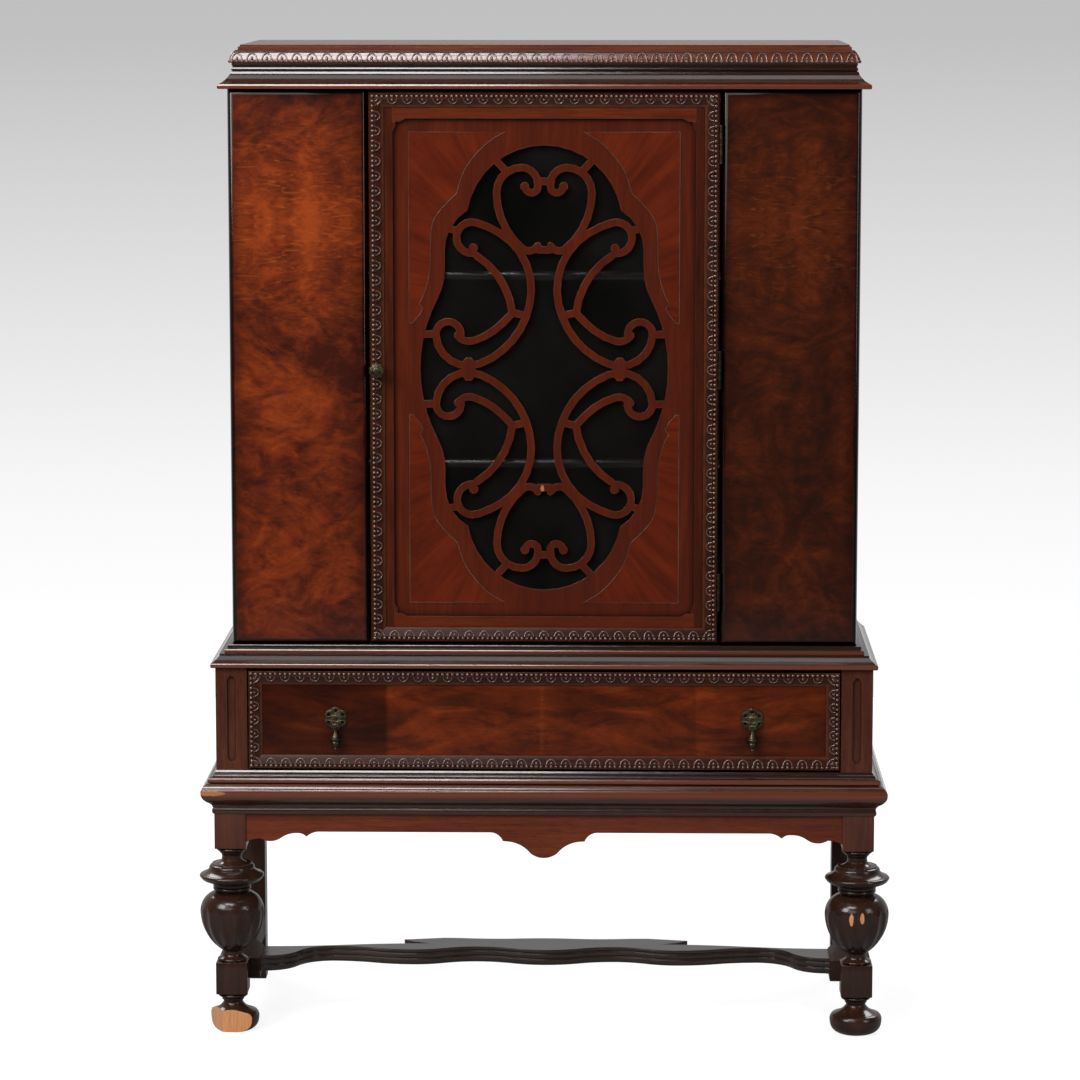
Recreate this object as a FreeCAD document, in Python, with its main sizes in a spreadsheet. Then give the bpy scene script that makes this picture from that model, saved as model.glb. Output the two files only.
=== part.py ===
import FreeCAD, Part
import math
import os
import Sketcher
from types import SimpleNamespace

# Cabinet on stand: an upper case with one fretted door between two fixed panels, above a
# drawer case, on a stand with two turned front legs. The front faces -Y, the floor is
# Z = 0 and the origin lies on the floor under the middle of the whole. Millimetres.

SIZES = {
    # stand
    "stand_margin": 4,
    "stand_depth": 400,
    "stand_height": 416,
    "leg_block": 51,
    "foot_height": 43,
    "ankle_height": 20,
    "lower_block_height": 53,
    "collar_height": 19,
    "urn_height": 97,
    "urn_ring_height": 9,
    "disc_height": 43,
    "neck_height": 21,
    "foot_diameter": 86,
    "ankle_diameter": 33,
    "collar_diameter": 45,
    "urn_diameter": 104,
    "urn_stem_diameter": 39,
    "urn_ring_diameter": 57,
    "disc_diameter": 105,
    "flute_count": 14,
    "flute_depth": 3,
    "neck_diameter": 33,
    "rear_leg_width": 50,
    "rear_leg_depth": 40,
    "apron_height": 82,
    "apron_thickness": 20,
    "apron_setback": 3,
    "lobe_length": 117,
    "lobe_drop": 18,
    "pendant_width": 172,
    "pendant_drop": 42,
    "torus_height": 37,
    "torus_projection": 20,
    "stand_bead_height": 12,
    "stand_bead_projection": 3,
    "stretcher_level": 112,
    "stretcher_thickness": 26,
    "stretcher_setback": 67,
    "stretcher_sweep": 70,
    "platform_width": 472,
    "platform_depth": 84,
    "side_stretcher_width": 67,
    "side_stretcher_thickness": 34,
    # drawer case
    "case_width": 1060,
    "case_setback": 4,
    "case_board": 18,
    "back_board": 8,
    "base_height": 19,
    "base_projection": 13,
    "drawer_case_height": 168,
    "corner_stile_width": 51,
    "corner_stile_thickness": 22,
    "corner_flute_width": 14,
    "corner_flute_margin": 14,
    "corner_flute_depth": 4,
    "runner_width": 60,
    "runner_thickness": 10,
    "runner_guide_height": 34,
    "waist_thickness": 22,
    "waist_projection": 7.5,
    "waist_moulding_width": 32.5,
    # upper case
    "upper_margin": 26,
    "upper_setback": 26,
    "upper_height": 906,
    "upper_base_height": 14,
    "upper_base_projection": 11,
    "upper_board": 18,
    "floor_board": 20,
    "panel_width": 222,
    "panel_edge": 6,
    "front_thickness": 22,
    "shelf_thickness": 18,
    "shelf_setback": 20,
    "upper_shelf_height": 615,
    "lower_shelf_height": 311,
    "cleat_width": 12,
    "cleat_height": 15,
    "cleat_setback": 30,
    "cornice_height": 39,
    "cornice_projection": 13.5,
    "cornice_thickness": 41.5,
    "band_height": 22,
    "band_recess": 9,
    "top_thickness": 8,
    "top_recess": 17,
    "top_edge": 3,
    # door
    "door_gap": 3,
    "door_gap_top": 5,
    "door_gap_bottom": 4,
    "door_frame_width": 38,
    "door_rail_width": 42,
    "door_lip": 5,
    "door_lip_thickness": 6,
    "door_tab": 5,
    "door_tab_length": 16,
    "carved_width": 22,
    "carved_rise": 5.5,
    "carved_inset": 2,
    "fret_height": 714,
    "fret_band": 12,
    "fret_knob": 15,
    "fret_bridge": 22,
    "fret_flat_angle": 20,
    "fret_flat_length": 24,
    "fret_thickness": 8,
    "glass_thickness": 3,
    "glass_stop_width": 10,
    "hinge_height": 60,
    "hinge_inset": 82,
    "hinge_barrel": 6,
    "hinge_barrel_sides": 12,
    "hinge_pin": 2.4,
    "hinge_leaf": 1.3,
    "hinge_leaf_width": 20,
    "running_fit": 0.05,
    "knob_diameter": 25,
    "knob_length": 23,
    "knob_inset": 12,
    "spindle_width": 5,
    "latch_bar_length": 34,
    "latch_bar_width": 10,
    "latch_bar_thickness": 3,
    # drawer
    "drawer_gap": 2.5,
    "drawer_gap_top": 5,
    "drawer_gap_bottom": 4,
    "drawer_front_thickness": 20,
    "drawer_side_thickness": 12,
    "drawer_side_height": 110,
    "drawer_side_gap": 13,
    "drawer_bottom_thickness": 5,
    "drawer_bottom_lift": 8,
    "drawer_length": 345,
    "pull_inset": 140.5,
    "pull_level": 86,
    "pull_plate_diameter": 38,
    "pull_plate_thickness": 2.5,
    "pull_lobe_count": 8,
    "pull_drop_length": 43,
    "pull_drop_diameter": 18,
    "pull_reach": 12.5,
    "pull_pin": 2.5,
    "pull_eye": 7.2,
    "pull_eye_width": 5,
    "pull_ear": 2,
    "small_turning_sides": 16,
    # clearances
    "slide_clearance": 0.3,
    "panel_clearance": 0.3,
}

doc = FreeCAD.newDocument("cabinet_on_stand")
sheet = doc.addObject("Spreadsheet::Sheet", "Sizes")
for row, (name, number) in enumerate(SIZES.items(), start=1):
    sheet.set(f"A{row}", name)
    sheet.set(f"B{row}", str(number))
    sheet.setAlias(f"B{row}", name)
doc.recompute()

nodes = []


class Size:
    """A length: its number, and the sheet expression that it comes from."""

    def __init__(self, number, text):
        self.number = number
        self.text = text

    def __add__(self, other):
        other = size(other)
        return Size(self.number + other.number, f"({self.text} + {other.text})")

    def __radd__(self, other):
        return size(other) + self

    def __sub__(self, other):
        other = size(other)
        return Size(self.number - other.number, f"({self.text} - {other.text})")

    def __rsub__(self, other):
        return size(other) - self

    def __mul__(self, other):
        other = size(other)
        return Size(self.number * other.number, f"({self.text} * {other.text})")

    def __rmul__(self, other):
        return size(other) * self

    def __truediv__(self, other):
        other = size(other)
        return Size(self.number / other.number, f"({self.text} / {other.text})")

    def __neg__(self):
        return Size(-self.number, f"(0 - {self.text})")


def size(item):
    """A plain number as a Size."""
    return item if isinstance(item, Size) else Size(item, repr(item))


S = SimpleNamespace(**{name: Size(sheet.get(name), f"Sizes.{name}") for name in SIZES})

# Planes that the pieces share
overhang = (S.disc_diameter - S.leg_block) / 2
back = (S.stand_depth + overhang) / 2
leg_front = back - S.stand_depth
leg_back = leg_front + S.leg_block
rear_leg_front = back - S.rear_leg_depth
case_front = leg_front + S.case_setback
lower_block_low = S.foot_height + S.ankle_height
lower_block_top = lower_block_low + S.lower_block_height
upper_block_low = lower_block_top + (S.collar_height + S.urn_height + S.urn_ring_height
                                     + S.disc_height + S.neck_height)
upper_front = leg_front + S.upper_setback
case_half = S.case_width / 2
stand_half = case_half + S.stand_margin
upper_half = case_half - S.upper_margin
base_top = S.stand_height + S.base_height
drawer_ceiling = base_top + S.drawer_case_height
waist_top = drawer_ceiling + S.waist_thickness
cornice_bottom = waist_top + S.upper_height
band_bottom = cornice_bottom + S.cornice_height
top_bottom = band_bottom + S.band_height
upper_shelf = waist_top + S.upper_shelf_height
lower_shelf = waist_top + S.lower_shelf_height
panel_inner = upper_half - S.panel_width
upper_inner = upper_half - S.upper_board
case_back = back - S.back_board
front_back = upper_front + S.front_thickness
door_half = panel_inner - S.door_gap
door_bottom = waist_top + S.upper_base_height + S.door_gap_bottom
door_top = cornice_bottom - S.door_gap_top
door_middle = (door_top + door_bottom) / 2
stile_inner = door_half - S.door_frame_width
rebate_half = stile_inner + S.door_lip
opening_top = door_top - S.door_rail_width
opening_bottom = door_bottom + S.door_rail_width
lip_back = upper_front + S.door_lip_thickness
glass_front = lip_back + S.fret_thickness
glass_back = glass_front + S.glass_thickness
opening_half = case_half - S.corner_stile_width
drawer_half = opening_half - S.drawer_gap
drawer_top = drawer_ceiling - S.drawer_gap_top
drawer_bottom = base_top + S.drawer_gap_bottom
drawer_face_back = case_front + S.drawer_front_thickness
drawer_end = case_front + S.drawer_length
hinge_x = panel_inner - S.door_gap / 2
hinge_y = upper_front - S.hinge_barrel / 2 - S.running_fit * 4
spindle_hole = S.spindle_width * math.sqrt(0.5) + S.running_fit


def bow(chord, rise):
    """Radius of an arc from its chord and its rise."""
    return (chord * chord / 4 + rise * rise) / (rise * 2)


def ogee(start, end):
    """Two arcs that join two points where the line runs level at both."""
    across = end[0] - start[0]
    along = end[1] - start[1]
    radius = (across * across + along * along) / (along * 4)
    if across.number < 0:
        radius = -radius
    middle = ((start[0] + end[0]) / 2, (start[1] + end[1]) / 2, radius)
    return [middle, (end[0], end[1], -radius)]


def mirrored(half):
    """A whole line from its right half, which starts on the middle line."""
    left = [(-half[-1][0], half[-1][1])]
    for index in range(len(half) - 1, 0, -1):
        left.append((-half[index - 1][0], half[index - 1][1]) + half[index][2:])
    return left + half[1:]


def edge_ends(point):
    """Start and end numbers of the edge that leads to a point."""
    return (2, 1) if len(point) == 3 and size(point[2]).number < 0 else (1, 2)


def arc_edge(start, end, radius):
    """Arc of under a half circle, with its centre on the left where the radius is positive."""
    chord = end - start
    reach = math.sqrt(radius * radius - chord.Length ** 2 / 4)
    side = FreeCAD.Vector(-chord.y, chord.x, 0).normalize() * math.copysign(reach, radius)
    centre = (start + end) / 2 + side
    first, last = (start, end) if radius > 0 else (end, start)
    turn = [math.atan2(point.y - centre.y, point.x - centre.x) for point in (first, last)]
    circle = Part.Circle(centre, FreeCAD.Vector(0, 0, 1), abs(radius))
    return Part.ArcOfCircle(circle, turn[0], turn[1])


def bind(sketch, rules):
    """Adds constraints to a sketch and ties each one that has a size to the sheet."""
    sketch.addConstraint([rule for rule, length in rules])
    for index, (rule, length) in enumerate(rules):
        if length is not None:
            sketch.setExpression(f"Constraints[{index}]", length.text)


def draw_circle(sketch, centre_u, centre_v, radius):
    """One circle, bound to the sheet."""
    centre_u, centre_v, radius = size(centre_u), size(centre_v), size(radius)
    centre = FreeCAD.Vector(centre_u.number, centre_v.number, 0)
    sketch.addGeometry(Part.Circle(centre, FreeCAD.Vector(0, 0, 1), radius.number))
    bind(sketch, [
        (Sketcher.Constraint("DistanceX", -1, 1, 0, 3, centre_u.number), centre_u),
        (Sketcher.Constraint("DistanceY", -1, 1, 0, 3, centre_v.number), centre_v),
        (Sketcher.Constraint("Radius", 0, radius.number), radius),
    ])


def draw_outline(sketch, points):
    """Closed outline, bound to the sheet. A point (u, v) ends a line, (u, v, radius) an arc."""
    spots = [FreeCAD.Vector(size(point[0]).number, size(point[1]).number, 0) for point in points]
    rules = []
    for index, point in enumerate(points):
        start, end = spots[index - 1], spots[index]
        following = (index + 1) % len(points)
        if len(point) == 3:
            sketch.addGeometry(arc_edge(start, end, size(point[2]).number))
        else:
            sketch.addGeometry(Part.LineSegment(start, end))
        tip = edge_ends(point)[1]
        tail = edge_ends(points[following])[0]
        rules.append((Sketcher.Constraint("Coincident", index, tip, following, tail), None))
        rules.append((Sketcher.Constraint("DistanceX", -1, 1, index, tip, end.x), size(point[0])))
        rules.append((Sketcher.Constraint("DistanceY", -1, 1, index, tip, end.y), size(point[1])))
        if len(point) == 3:
            radius = size(point[2])
            radius = radius if radius.number > 0 else -radius
            rules.append((Sketcher.Constraint("Radius", index, radius.number), radius))
    bind(sketch, rules)


def new_body(label):
    """An empty body with its node's name."""
    return doc.addObject("PartDesign::Body", label)


def origin_plane(body, role):
    """One of the body's own origin planes."""
    return next(plane for plane in body.Origin.OriginFeatures if plane.Role == role)


def new_sketch(body, role, level, outline):
    """A sketch of an outline, or of a circle (u, v, radius), on a plane at a level of its axis."""
    sketch = body.newObject("Sketcher::SketchObject", f"{body.Name}_sketch")
    sketch.AttachmentSupport = (origin_plane(body, role), [""])
    sketch.MapMode = "FlatFace"
    level = size(level)
    offset = -level if role == "XZ_Plane" else level
    sketch.setExpression("AttachmentOffset.Base.z", offset.text)
    if isinstance(outline, tuple):
        draw_circle(sketch, *outline)
    else:
        draw_outline(sketch, outline)
    return sketch


def pad(body, role, outline, low, high):
    """Adds a prism of the outline between two levels across its plane."""
    low, high = size(low), size(high)
    feature = body.newObject("PartDesign::Pad", f"{body.Name}_pad")
    feature.Profile = new_sketch(body, role, high if role == "XZ_Plane" else low, outline)
    feature.setExpression("Length", (high - low).text)
    return feature


def pocket(body, role, outline, low, high):
    """Cuts a prism of the outline between two levels across its plane."""
    low, high = size(low), size(high)
    doc.recompute()
    before = body.Shape.Volume
    feature = body.newObject("PartDesign::Pocket", f"{body.Name}_pocket")
    feature.Profile = new_sketch(body, role, low if role == "XZ_Plane" else high, outline)
    feature.setExpression("Length", (high - low).text)
    doc.recompute()
    if body.Shape.Volume >= before:
        raise RuntimeError(f"a pocket of {body.Label} cuts nothing")
    return feature


def polar_pattern(body, feature, count):
    """Repeats a feature about the normal of its own sketch."""
    pattern = body.newObject("PartDesign::PolarPattern", f"{body.Name}_pattern")
    pattern.Originals = [feature]
    pattern.Axis = (feature.Profile[0], ["N_Axis"])
    pattern.Angle = 360
    pattern.setExpression("Occurrences", count.text)
    body.Tip = pattern
    return pattern


def ring_corners(section, sides):
    """Corners of one level section, every other one cut in by the section's flute depth."""
    radius, level = size(section[0]).number, size(section[1]).number
    depth = size(section[2]).number if len(section) == 3 else 0
    corners = []
    for index in range(sides):
        angle = 2 * math.pi * index / sides
        reach = radius - depth * (index % 2)
        corners.append(FreeCAD.Vector(reach * math.cos(angle), reach * math.sin(angle), level))
    return corners


def flat_faces(corners):
    """One flat face through four corners, or two where they lie out of one plane."""
    first, second, third, fourth = corners
    twist = (second - first).cross(third - first).dot(fourth - first)
    if abs(twist) < 1e-6:
        return [Part.Face(Part.makePolygon([first, second, third, fourth, first]))]
    halves = [(first, second, third, first), (first, third, fourth, first)]
    return [Part.Face(Part.makePolygon(half)) for half in halves]


def turned(label, sections, sides):
    """A turned solid with flat sides, through sections (radius, level) or (radius, level, flute depth)."""
    rings = [ring_corners(section, sides) for section in sections]
    faces = [Part.Face(Part.makePolygon(ring + ring[:1])) for ring in (rings[0], rings[-1])]
    for below, above in zip(rings, rings[1:]):
        for index in range(sides):
            faces += flat_faces([below[index - 1], below[index], above[index], above[index - 1]])
    turning = doc.addObject("Part::Feature", label)
    solid = Part.makeSolid(Part.makeShell(faces))
    turning.Shape = solid if solid.Volume > 0 else solid.reversed()
    return turning


def place(piece, x, y, z, turn=None):
    """Sets a piece's place from the sheet, and its turn."""
    if turn is not None:
        piece.Placement = FreeCAD.Placement(FreeCAD.Vector(), turn)
    for axis, length in (("x", x), ("y", y), ("z", z)):
        piece.setExpression(f"Placement.Base.{axis}", size(length).text)
    return piece


def prism(label, role, outline, low, high):
    """A body of one prism."""
    body = new_body(label)
    pad(body, role, outline, low, high)
    return body


def rectangle(low_u, high_u, low_v, high_v):
    """Four corners."""
    return [(low_u, low_v), (high_u, low_v), (high_u, high_v), (low_u, high_v)]


def board(label, x, y, z):
    """A plain board between pairs of planes."""
    box = doc.addObject("Part::Box", label)
    for name, (low, high) in (("Length", x), ("Width", y), ("Height", z)):
        box.setExpression(name, (high - low).text)
    return place(box, x[0], y[0], z[0])


def rod(label, radius, length, x, y, z, turn=None):
    """A round rod from a point, along Z until it is turned."""
    cylinder = doc.addObject("Part::Cylinder", label)
    cylinder.setExpression("Radius", size(radius).text)
    cylinder.setExpression("Height", size(length).text)
    return place(cylinder, x, y, z, turn)


def overlap(label, first, second):
    """What two pieces have in common."""
    common = doc.addObject("Part::Common", label)
    common.Base = first
    common.Tool = second
    return common


def cut(label, whole, tool):
    """A piece less a tool."""
    rest = doc.addObject("Part::Cut", label)
    rest.Base = whole
    rest.Tool = tool
    return rest


def fuse(label, pieces):
    """Pieces joined into one."""
    joined = doc.addObject("Part::MultiFuse", label)
    joined.Shapes = pieces
    return joined


def group(label, pieces):
    """Separate solids that share one node."""
    several = doc.addObject("Part::Compound", label)
    several.Links = pieces
    return several


def keep(*pieces):
    """Lists pieces as nodes of the cabinet."""
    nodes.extend(pieces)


def mitred_round(label, profile, half, front, reach):
    """A moulding round the front and both sides, in three mitred lengths.

    The profile's points are (out, z) or (out, z, radius), out from the face that carries it.
    """
    low = min((point[1] for point in profile), key=lambda z: z.number)
    high = max((point[1] for point in profile), key=lambda z: z.number)
    tips = half + reach
    nose = front - reach
    face = [(front - point[0], point[1]) + tuple(-bend for bend in point[2:]) for point in profile]
    run = prism(f"{label}_front_run", "YZ_Plane", face, -tips, tips)
    plan = [(-half, front), (-tips, nose), (tips, nose), (half, front)]
    trim = prism(f"{label}_front_trim", "XY_Plane", plan, low, high)
    lengths = [overlap(f"{label}_front", run, trim)]
    for name, side in (("left", -1), ("right", 1)):
        face = [(side * (half + point[0]), point[1]) + tuple(side * bend for bend in point[2:])
                for point in profile]
        run = prism(f"{label}_{name}_run", "XZ_Plane", face, nose, back)
        plan = [(side * half, back), (side * half, front), (side * tips, nose), (side * tips, back)]
        trim = prism(f"{label}_{name}_trim", "XY_Plane", plan, low, high)
        lengths.append(overlap(f"{label}_{name}", run, trim))
    return lengths


def mitred_frame(label, profile, half, low, high, face):
    """A moulding round a rectangle that faces -Y, in four mitred lengths: top, bottom, left, right.

    The profile's points are (in, rise): in from the rectangle's edge, rise from the face.
    """
    width = max((point[0] for point in profile), key=lambda length: length.number)
    nose = face - max((point[1] for point in profile), key=lambda length: length.number)
    deep = face - min((point[1] for point in profile), key=lambda length: length.number)
    lengths = []
    for name, edge, side in (("top", high, -1), ("bottom", low, 1)):
        section = [(face - rise, edge + side * inward) for inward, rise in profile]
        run = prism(f"{label}_{name}_run", "YZ_Plane", section, -half, half)
        inner = edge + side * width
        plan = [(-half, edge), (half, edge), (half - width, inner), (width - half, inner)]
        trim = prism(f"{label}_{name}_trim", "XZ_Plane", plan, nose, deep)
        lengths.append(overlap(f"{label}_{name}", run, trim))
    for name, side in (("left", -1), ("right", 1)):
        section = [(side * (half - inward), face - rise) for inward, rise in profile]
        run = prism(f"{label}_{name}_run", "XY_Plane", section, low, high)
        inner = side * (half - width)
        plan = [(side * half, low), (inner, low + width), (inner, high - width), (side * half, high)]
        trim = prism(f"{label}_{name}_trim", "XZ_Plane", plan, nose, deep)
        lengths.append(overlap(f"{label}_{name}", run, trim))
    return lengths


def leg_sections():
    """Level sections of the turned front leg, from the floor up into the upper block."""
    foot, ankle = S.foot_diameter / 2, S.ankle_diameter / 2
    collar, stem = S.collar_diameter / 2, S.urn_stem_diameter / 2
    urn, ring = S.urn_diameter / 2, S.urn_ring_diameter / 2
    disc, neck = S.disc_diameter / 2, S.neck_diameter / 2
    ankle_low = S.foot_height
    collar_low = lower_block_top
    urn_low = collar_low + S.collar_height
    ring_low = urn_low + S.urn_height
    disc_low = ring_low + S.urn_ring_height
    neck_low = disc_low + S.disc_height
    return [
        (foot * 0.62, 0),
        (foot * 0.94, S.foot_height * 0.22),
        (foot, S.foot_height * 0.46),
        (foot * 0.88, S.foot_height * 0.76),
        (ankle, ankle_low),
        (ankle, ankle_low + S.ankle_height * 0.5),
        (collar, lower_block_low),
        (collar, collar_low + S.collar_height * 0.3),
        (ankle, urn_low - S.collar_height * 0.25),
        (stem, urn_low),
        (urn * 0.68, urn_low + S.urn_height * 0.22, S.flute_depth),
        (urn * 0.91, urn_low + S.urn_height * 0.44, S.flute_depth),
        (urn, urn_low + S.urn_height * 0.66, S.flute_depth),
        (urn * 0.93, urn_low + S.urn_height * 0.82),
        (ring, ring_low),
        (ring, disc_low),
        (disc * 0.94, disc_low + S.disc_height * 0.22),
        (disc, disc_low + S.disc_height * 0.34),
        (disc * 0.94, disc_low + S.disc_height * 0.46),
        (disc * 0.62, disc_low + S.disc_height * 0.86),
        (neck, neck_low),
        (neck * 1.22, neck_low + S.neck_height * 0.6),
        (collar, upper_block_low),
        (collar, upper_block_low + S.neck_height),
    ]


def leg_block(label, low, high, sides, rounded_top):
    """Square block of a leg, its corners turned away where it meets a turned part."""
    half = S.leg_block / 2
    block = board(f"{label}_square", (-half, half), (-half, half), (low, high))
    rise = S.leg_block * 0.16
    neck, full = S.leg_block * 0.52, S.leg_block * 0.72
    top = [(full, high - rise), (neck, high)] if rounded_top else [(full, high)]
    return overlap(label, block, turned(f"{label}_shoulders", [(neck, low), (full, low + rise)] + top, sides))


def front_leg(label, side):
    """Turned leg: bun foot, square block, fluted urn, disc and upper square block."""
    sides = 2 * SIZES["flute_count"]
    turning = turned(f"{label}_turning", leg_sections(), sides)
    lower = leg_block(f"{label}_lower_block", lower_block_low, lower_block_top, sides, True)
    upper = leg_block(f"{label}_upper_block", upper_block_low, S.stand_height, sides, False)
    leg = fuse(label, [turning, lower, upper])
    half = S.leg_block / 2
    return place(leg, side * (stand_half - half), leg_front + half, 0)


def bow_upright(across, along):
    """Radius of an arc that runs upright at its widest point."""
    return (across * across + along * along) / (across * 2)


def apron_lobe(end, level):
    """Lower edge of an apron from its flat to the leg: a cusp, a hollow and a lobe."""
    run, drop = S.lobe_length, S.lobe_drop
    return [
        (end - run, level),
        (end - run * 0.84, level - drop * 0.46, -run * 0.26),
        (end - run * 0.71, level - drop * 0.14, -run * 0.16),
        (end - run * 0.5, level - drop * 0.52, -run * 0.34),
        (end - run * 0.2, level - drop * 0.63, run * 0.26),
        (end, level - drop, -run * 0.36),
    ]


def front_apron():
    """Front apron: a pendant in the middle and a lobe at each leg."""
    end = stand_half - S.leg_block
    level = S.stand_height - S.apron_height
    half, drop = S.pendant_width / 2, S.pendant_drop
    tip = (half * 0.25, level - drop * 0.82, bow_upright(drop * 0.18, half * 0.25))
    lower_edge = mirrored([
        (size(0), level - drop),
        tip,
        (half * 0.65, level - drop * 0.36, -half * 0.6),
        (half * 0.77, level - drop * 0.34),
        (half, level, -half * 0.26),
    ] + apron_lobe(end, level))
    outline = lower_edge + [(end, S.stand_height), (-end, S.stand_height)]
    face = leg_front + S.apron_setback
    return prism("front_apron", "XZ_Plane", outline, face, face + S.apron_thickness)


def side_apron(label, side):
    """Plain side apron between the legs."""
    outer, inner = stand_half - S.apron_setback, stand_half - S.apron_setback - S.apron_thickness
    across = (inner, outer) if side > 0 else (-outer, -inner)
    return board(label, across, (leg_back, rear_leg_front), (S.stand_height - S.apron_height, S.stand_height))


def stretcher_outline(inset):
    """Plan of the serpentine front stretcher, its front edge set in by the inset."""
    end = stand_half - S.side_stretcher_width
    near = leg_front + S.stretcher_setback + inset
    far = near + S.stretcher_sweep
    crest = near + S.stretcher_sweep * 0.68
    half = S.platform_width / 2
    front_points = [
        (size(0), crest),
        (half * 0.48, far),
        (half * 0.92, crest),
        (half + (end - half) * 0.5, far),
        (end - S.side_stretcher_width * 0.1, near),
    ]
    front_edge = front_points[:1]
    for start, stop in zip(front_points, front_points[1:]):
        front_edge += ogee(start, stop)
    front_edge.append((end, near))
    rear = leg_front + S.stretcher_setback + S.stretcher_sweep * 0.68 + S.platform_depth
    dip = S.platform_depth * 0.06
    notch = rear - S.platform_depth * 0.48
    lobe = S.platform_depth * 0.32
    rear_points = [(size(0), rear), (half * 0.36, rear - dip), (half * 0.72, rear)]
    rear_edge = rear_points[:1]
    for start, stop in zip(rear_points, rear_points[1:]):
        rear_edge += ogee(start, stop)
    rear_edge += [
        (half, rear - lobe / 2),
        (half - lobe / 2, rear - lobe),
        (half * 0.82, notch),
    ]
    rear_edge += ogee(rear_edge[-1], (end, leg_front + S.stretcher_setback + S.side_stretcher_width))
    return mirrored(front_edge) + backwards(mirrored(rear_edge))


def backwards(line):
    """The same line walked the other way."""
    turned = [line[-1][:2]]
    for index in range(len(line) - 1, 0, -1):
        turned.append(line[index - 1][:2] + tuple(-bend for bend in line[index][2:]))
    return turned


def front_stretcher():
    """Flat serpentine stretcher with a lip along its front edge."""
    top = S.stretcher_level
    low = top - S.stretcher_thickness
    lip = top - S.stretcher_thickness * 0.26
    stretcher = new_body("front_stretcher")
    pad(stretcher, "XY_Plane", stretcher_outline(size(0)), lip, top)
    pad(stretcher, "XY_Plane", stretcher_outline(S.stretcher_thickness * 0.15), low, lip)
    return stretcher


def build_stand():
    """Legs, aprons, stretchers and the torus moulding."""
    keep(front_leg("front_leg_left", -1), front_leg("front_leg_right", 1))
    rear_inner = stand_half - S.rear_leg_width
    upright = (size(0), S.stand_height)
    keep(board("rear_leg_left", (-stand_half, -rear_inner), (rear_leg_front, back), upright))
    keep(board("rear_leg_right", (rear_inner, stand_half), (rear_leg_front, back), upright))
    keep(front_apron(), side_apron("side_apron_left", -1), side_apron("side_apron_right", 1))
    apron_span = (S.stand_height - S.apron_height, S.stand_height)
    keep(board("rear_rail", (-rear_inner, rear_inner), (back - S.apron_thickness, back), apron_span))
    keep(front_stretcher())
    inner = stand_half - S.side_stretcher_width
    span = (leg_back, rear_leg_front)
    depth = (S.stretcher_level - S.side_stretcher_thickness, S.stretcher_level)
    keep(board("side_stretcher_left", (-stand_half, -inner), span, depth))
    keep(board("side_stretcher_right", (inner, stand_half), span, depth))
    top = S.stand_height
    torus_low = top - S.torus_height - S.stand_bead_projection
    bead_low = torus_low - S.stand_bead_height
    seat = S.torus_projection * 0.2
    bead_seat = S.stand_bead_projection * 0.4
    bead_bow = bow(S.stand_bead_height * 0.88, S.stand_bead_projection * 0.6)
    profile = [
        (size(0), bead_low),
        (bead_seat, bead_low),
        (bead_seat, bead_low + S.stand_bead_height * 0.88, bead_bow),
        (bead_seat, torus_low),
        (seat, torus_low),
        (seat, torus_low + S.torus_height, bow(S.torus_height, S.torus_projection - seat)),
        (seat, top),
        (size(0), top),
    ]
    lengths = mitred_round("stand_moulding", profile, stand_half, leg_front, S.torus_projection)
    keep(group("stand_moulding", lengths))


def build_drawer_case():
    """Bottom, sides, back, corner stiles, runners and mouldings round the drawer."""
    seat = S.base_projection * 0.75
    base_half = case_half - seat
    low = S.stand_height
    profile = [
        (size(0), low),
        (seat + S.base_projection, low),
        (seat + S.base_projection, low + S.base_height * 0.35),
        (seat, base_top, -S.base_height),
        (size(0), base_top),
    ]
    lengths = mitred_round("base_moulding", profile, base_half, case_front + seat, seat + S.base_projection)
    keep(group("base_moulding", lengths))
    keep(board("drawer_case_bottom", (-base_half, base_half), (case_front + seat, back), (low, base_top)))
    stile_back = case_front + S.corner_stile_thickness
    inner = case_half - S.case_board
    height = (base_top, drawer_ceiling)
    keep(board("drawer_case_side_left", (-case_half, -inner), (stile_back, back), height))
    keep(board("drawer_case_side_right", (inner, case_half), (stile_back, back), height))
    keep(board("drawer_case_back", (-inner, inner), (case_back, back), height))
    for name, side in (("left", -1), ("right", 1)):
        keep(corner_stile(f"corner_stile_{name}", side))
    keep(group("drawer_runners", [drawer_runner(name, side) for name, side in (("left", -1), ("right", 1))]))
    waist_half = case_half + S.waist_projection - S.waist_moulding_width
    waist_front = case_front - S.waist_projection + S.waist_moulding_width
    width = S.waist_moulding_width
    profile = [
        (size(0), drawer_ceiling),
        (width - S.waist_thickness * 0.12, drawer_ceiling),
        (width, drawer_ceiling + S.waist_thickness * 0.12),
        (width, drawer_ceiling + S.waist_thickness * 0.37),
        (width * 0.56, waist_top, -S.waist_thickness * 1.6),
        (size(0), waist_top),
    ]
    keep(group("waist_moulding", mitred_round("waist_moulding", profile, waist_half, waist_front, width)))
    keep(board("waist_board", (-waist_half, waist_half), (waist_front, back), (drawer_ceiling, waist_top)))


def corner_stile(label, side):
    """Corner stile with one round-ended flute."""
    outer, inner = side * case_half, side * opening_half
    face = rectangle(outer, inner, base_top, drawer_ceiling)
    stile = prism(label, "XZ_Plane", face, case_front, case_front + S.corner_stile_thickness)
    middle = (outer + inner) / 2
    half = S.corner_flute_width / 2
    low = base_top + S.corner_flute_margin + half
    high = drawer_ceiling - S.corner_flute_margin - half
    tip = half * 0.41
    flute = [
        (middle - half, low), (middle - tip, low - half), (middle + tip, low - half), (middle + half, low),
        (middle + half, high), (middle + tip, high + half), (middle - tip, high + half), (middle - half, high),
    ]
    pocket(stile, "XZ_Plane", flute, case_front, case_front + S.corner_flute_depth)
    return stile


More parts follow.
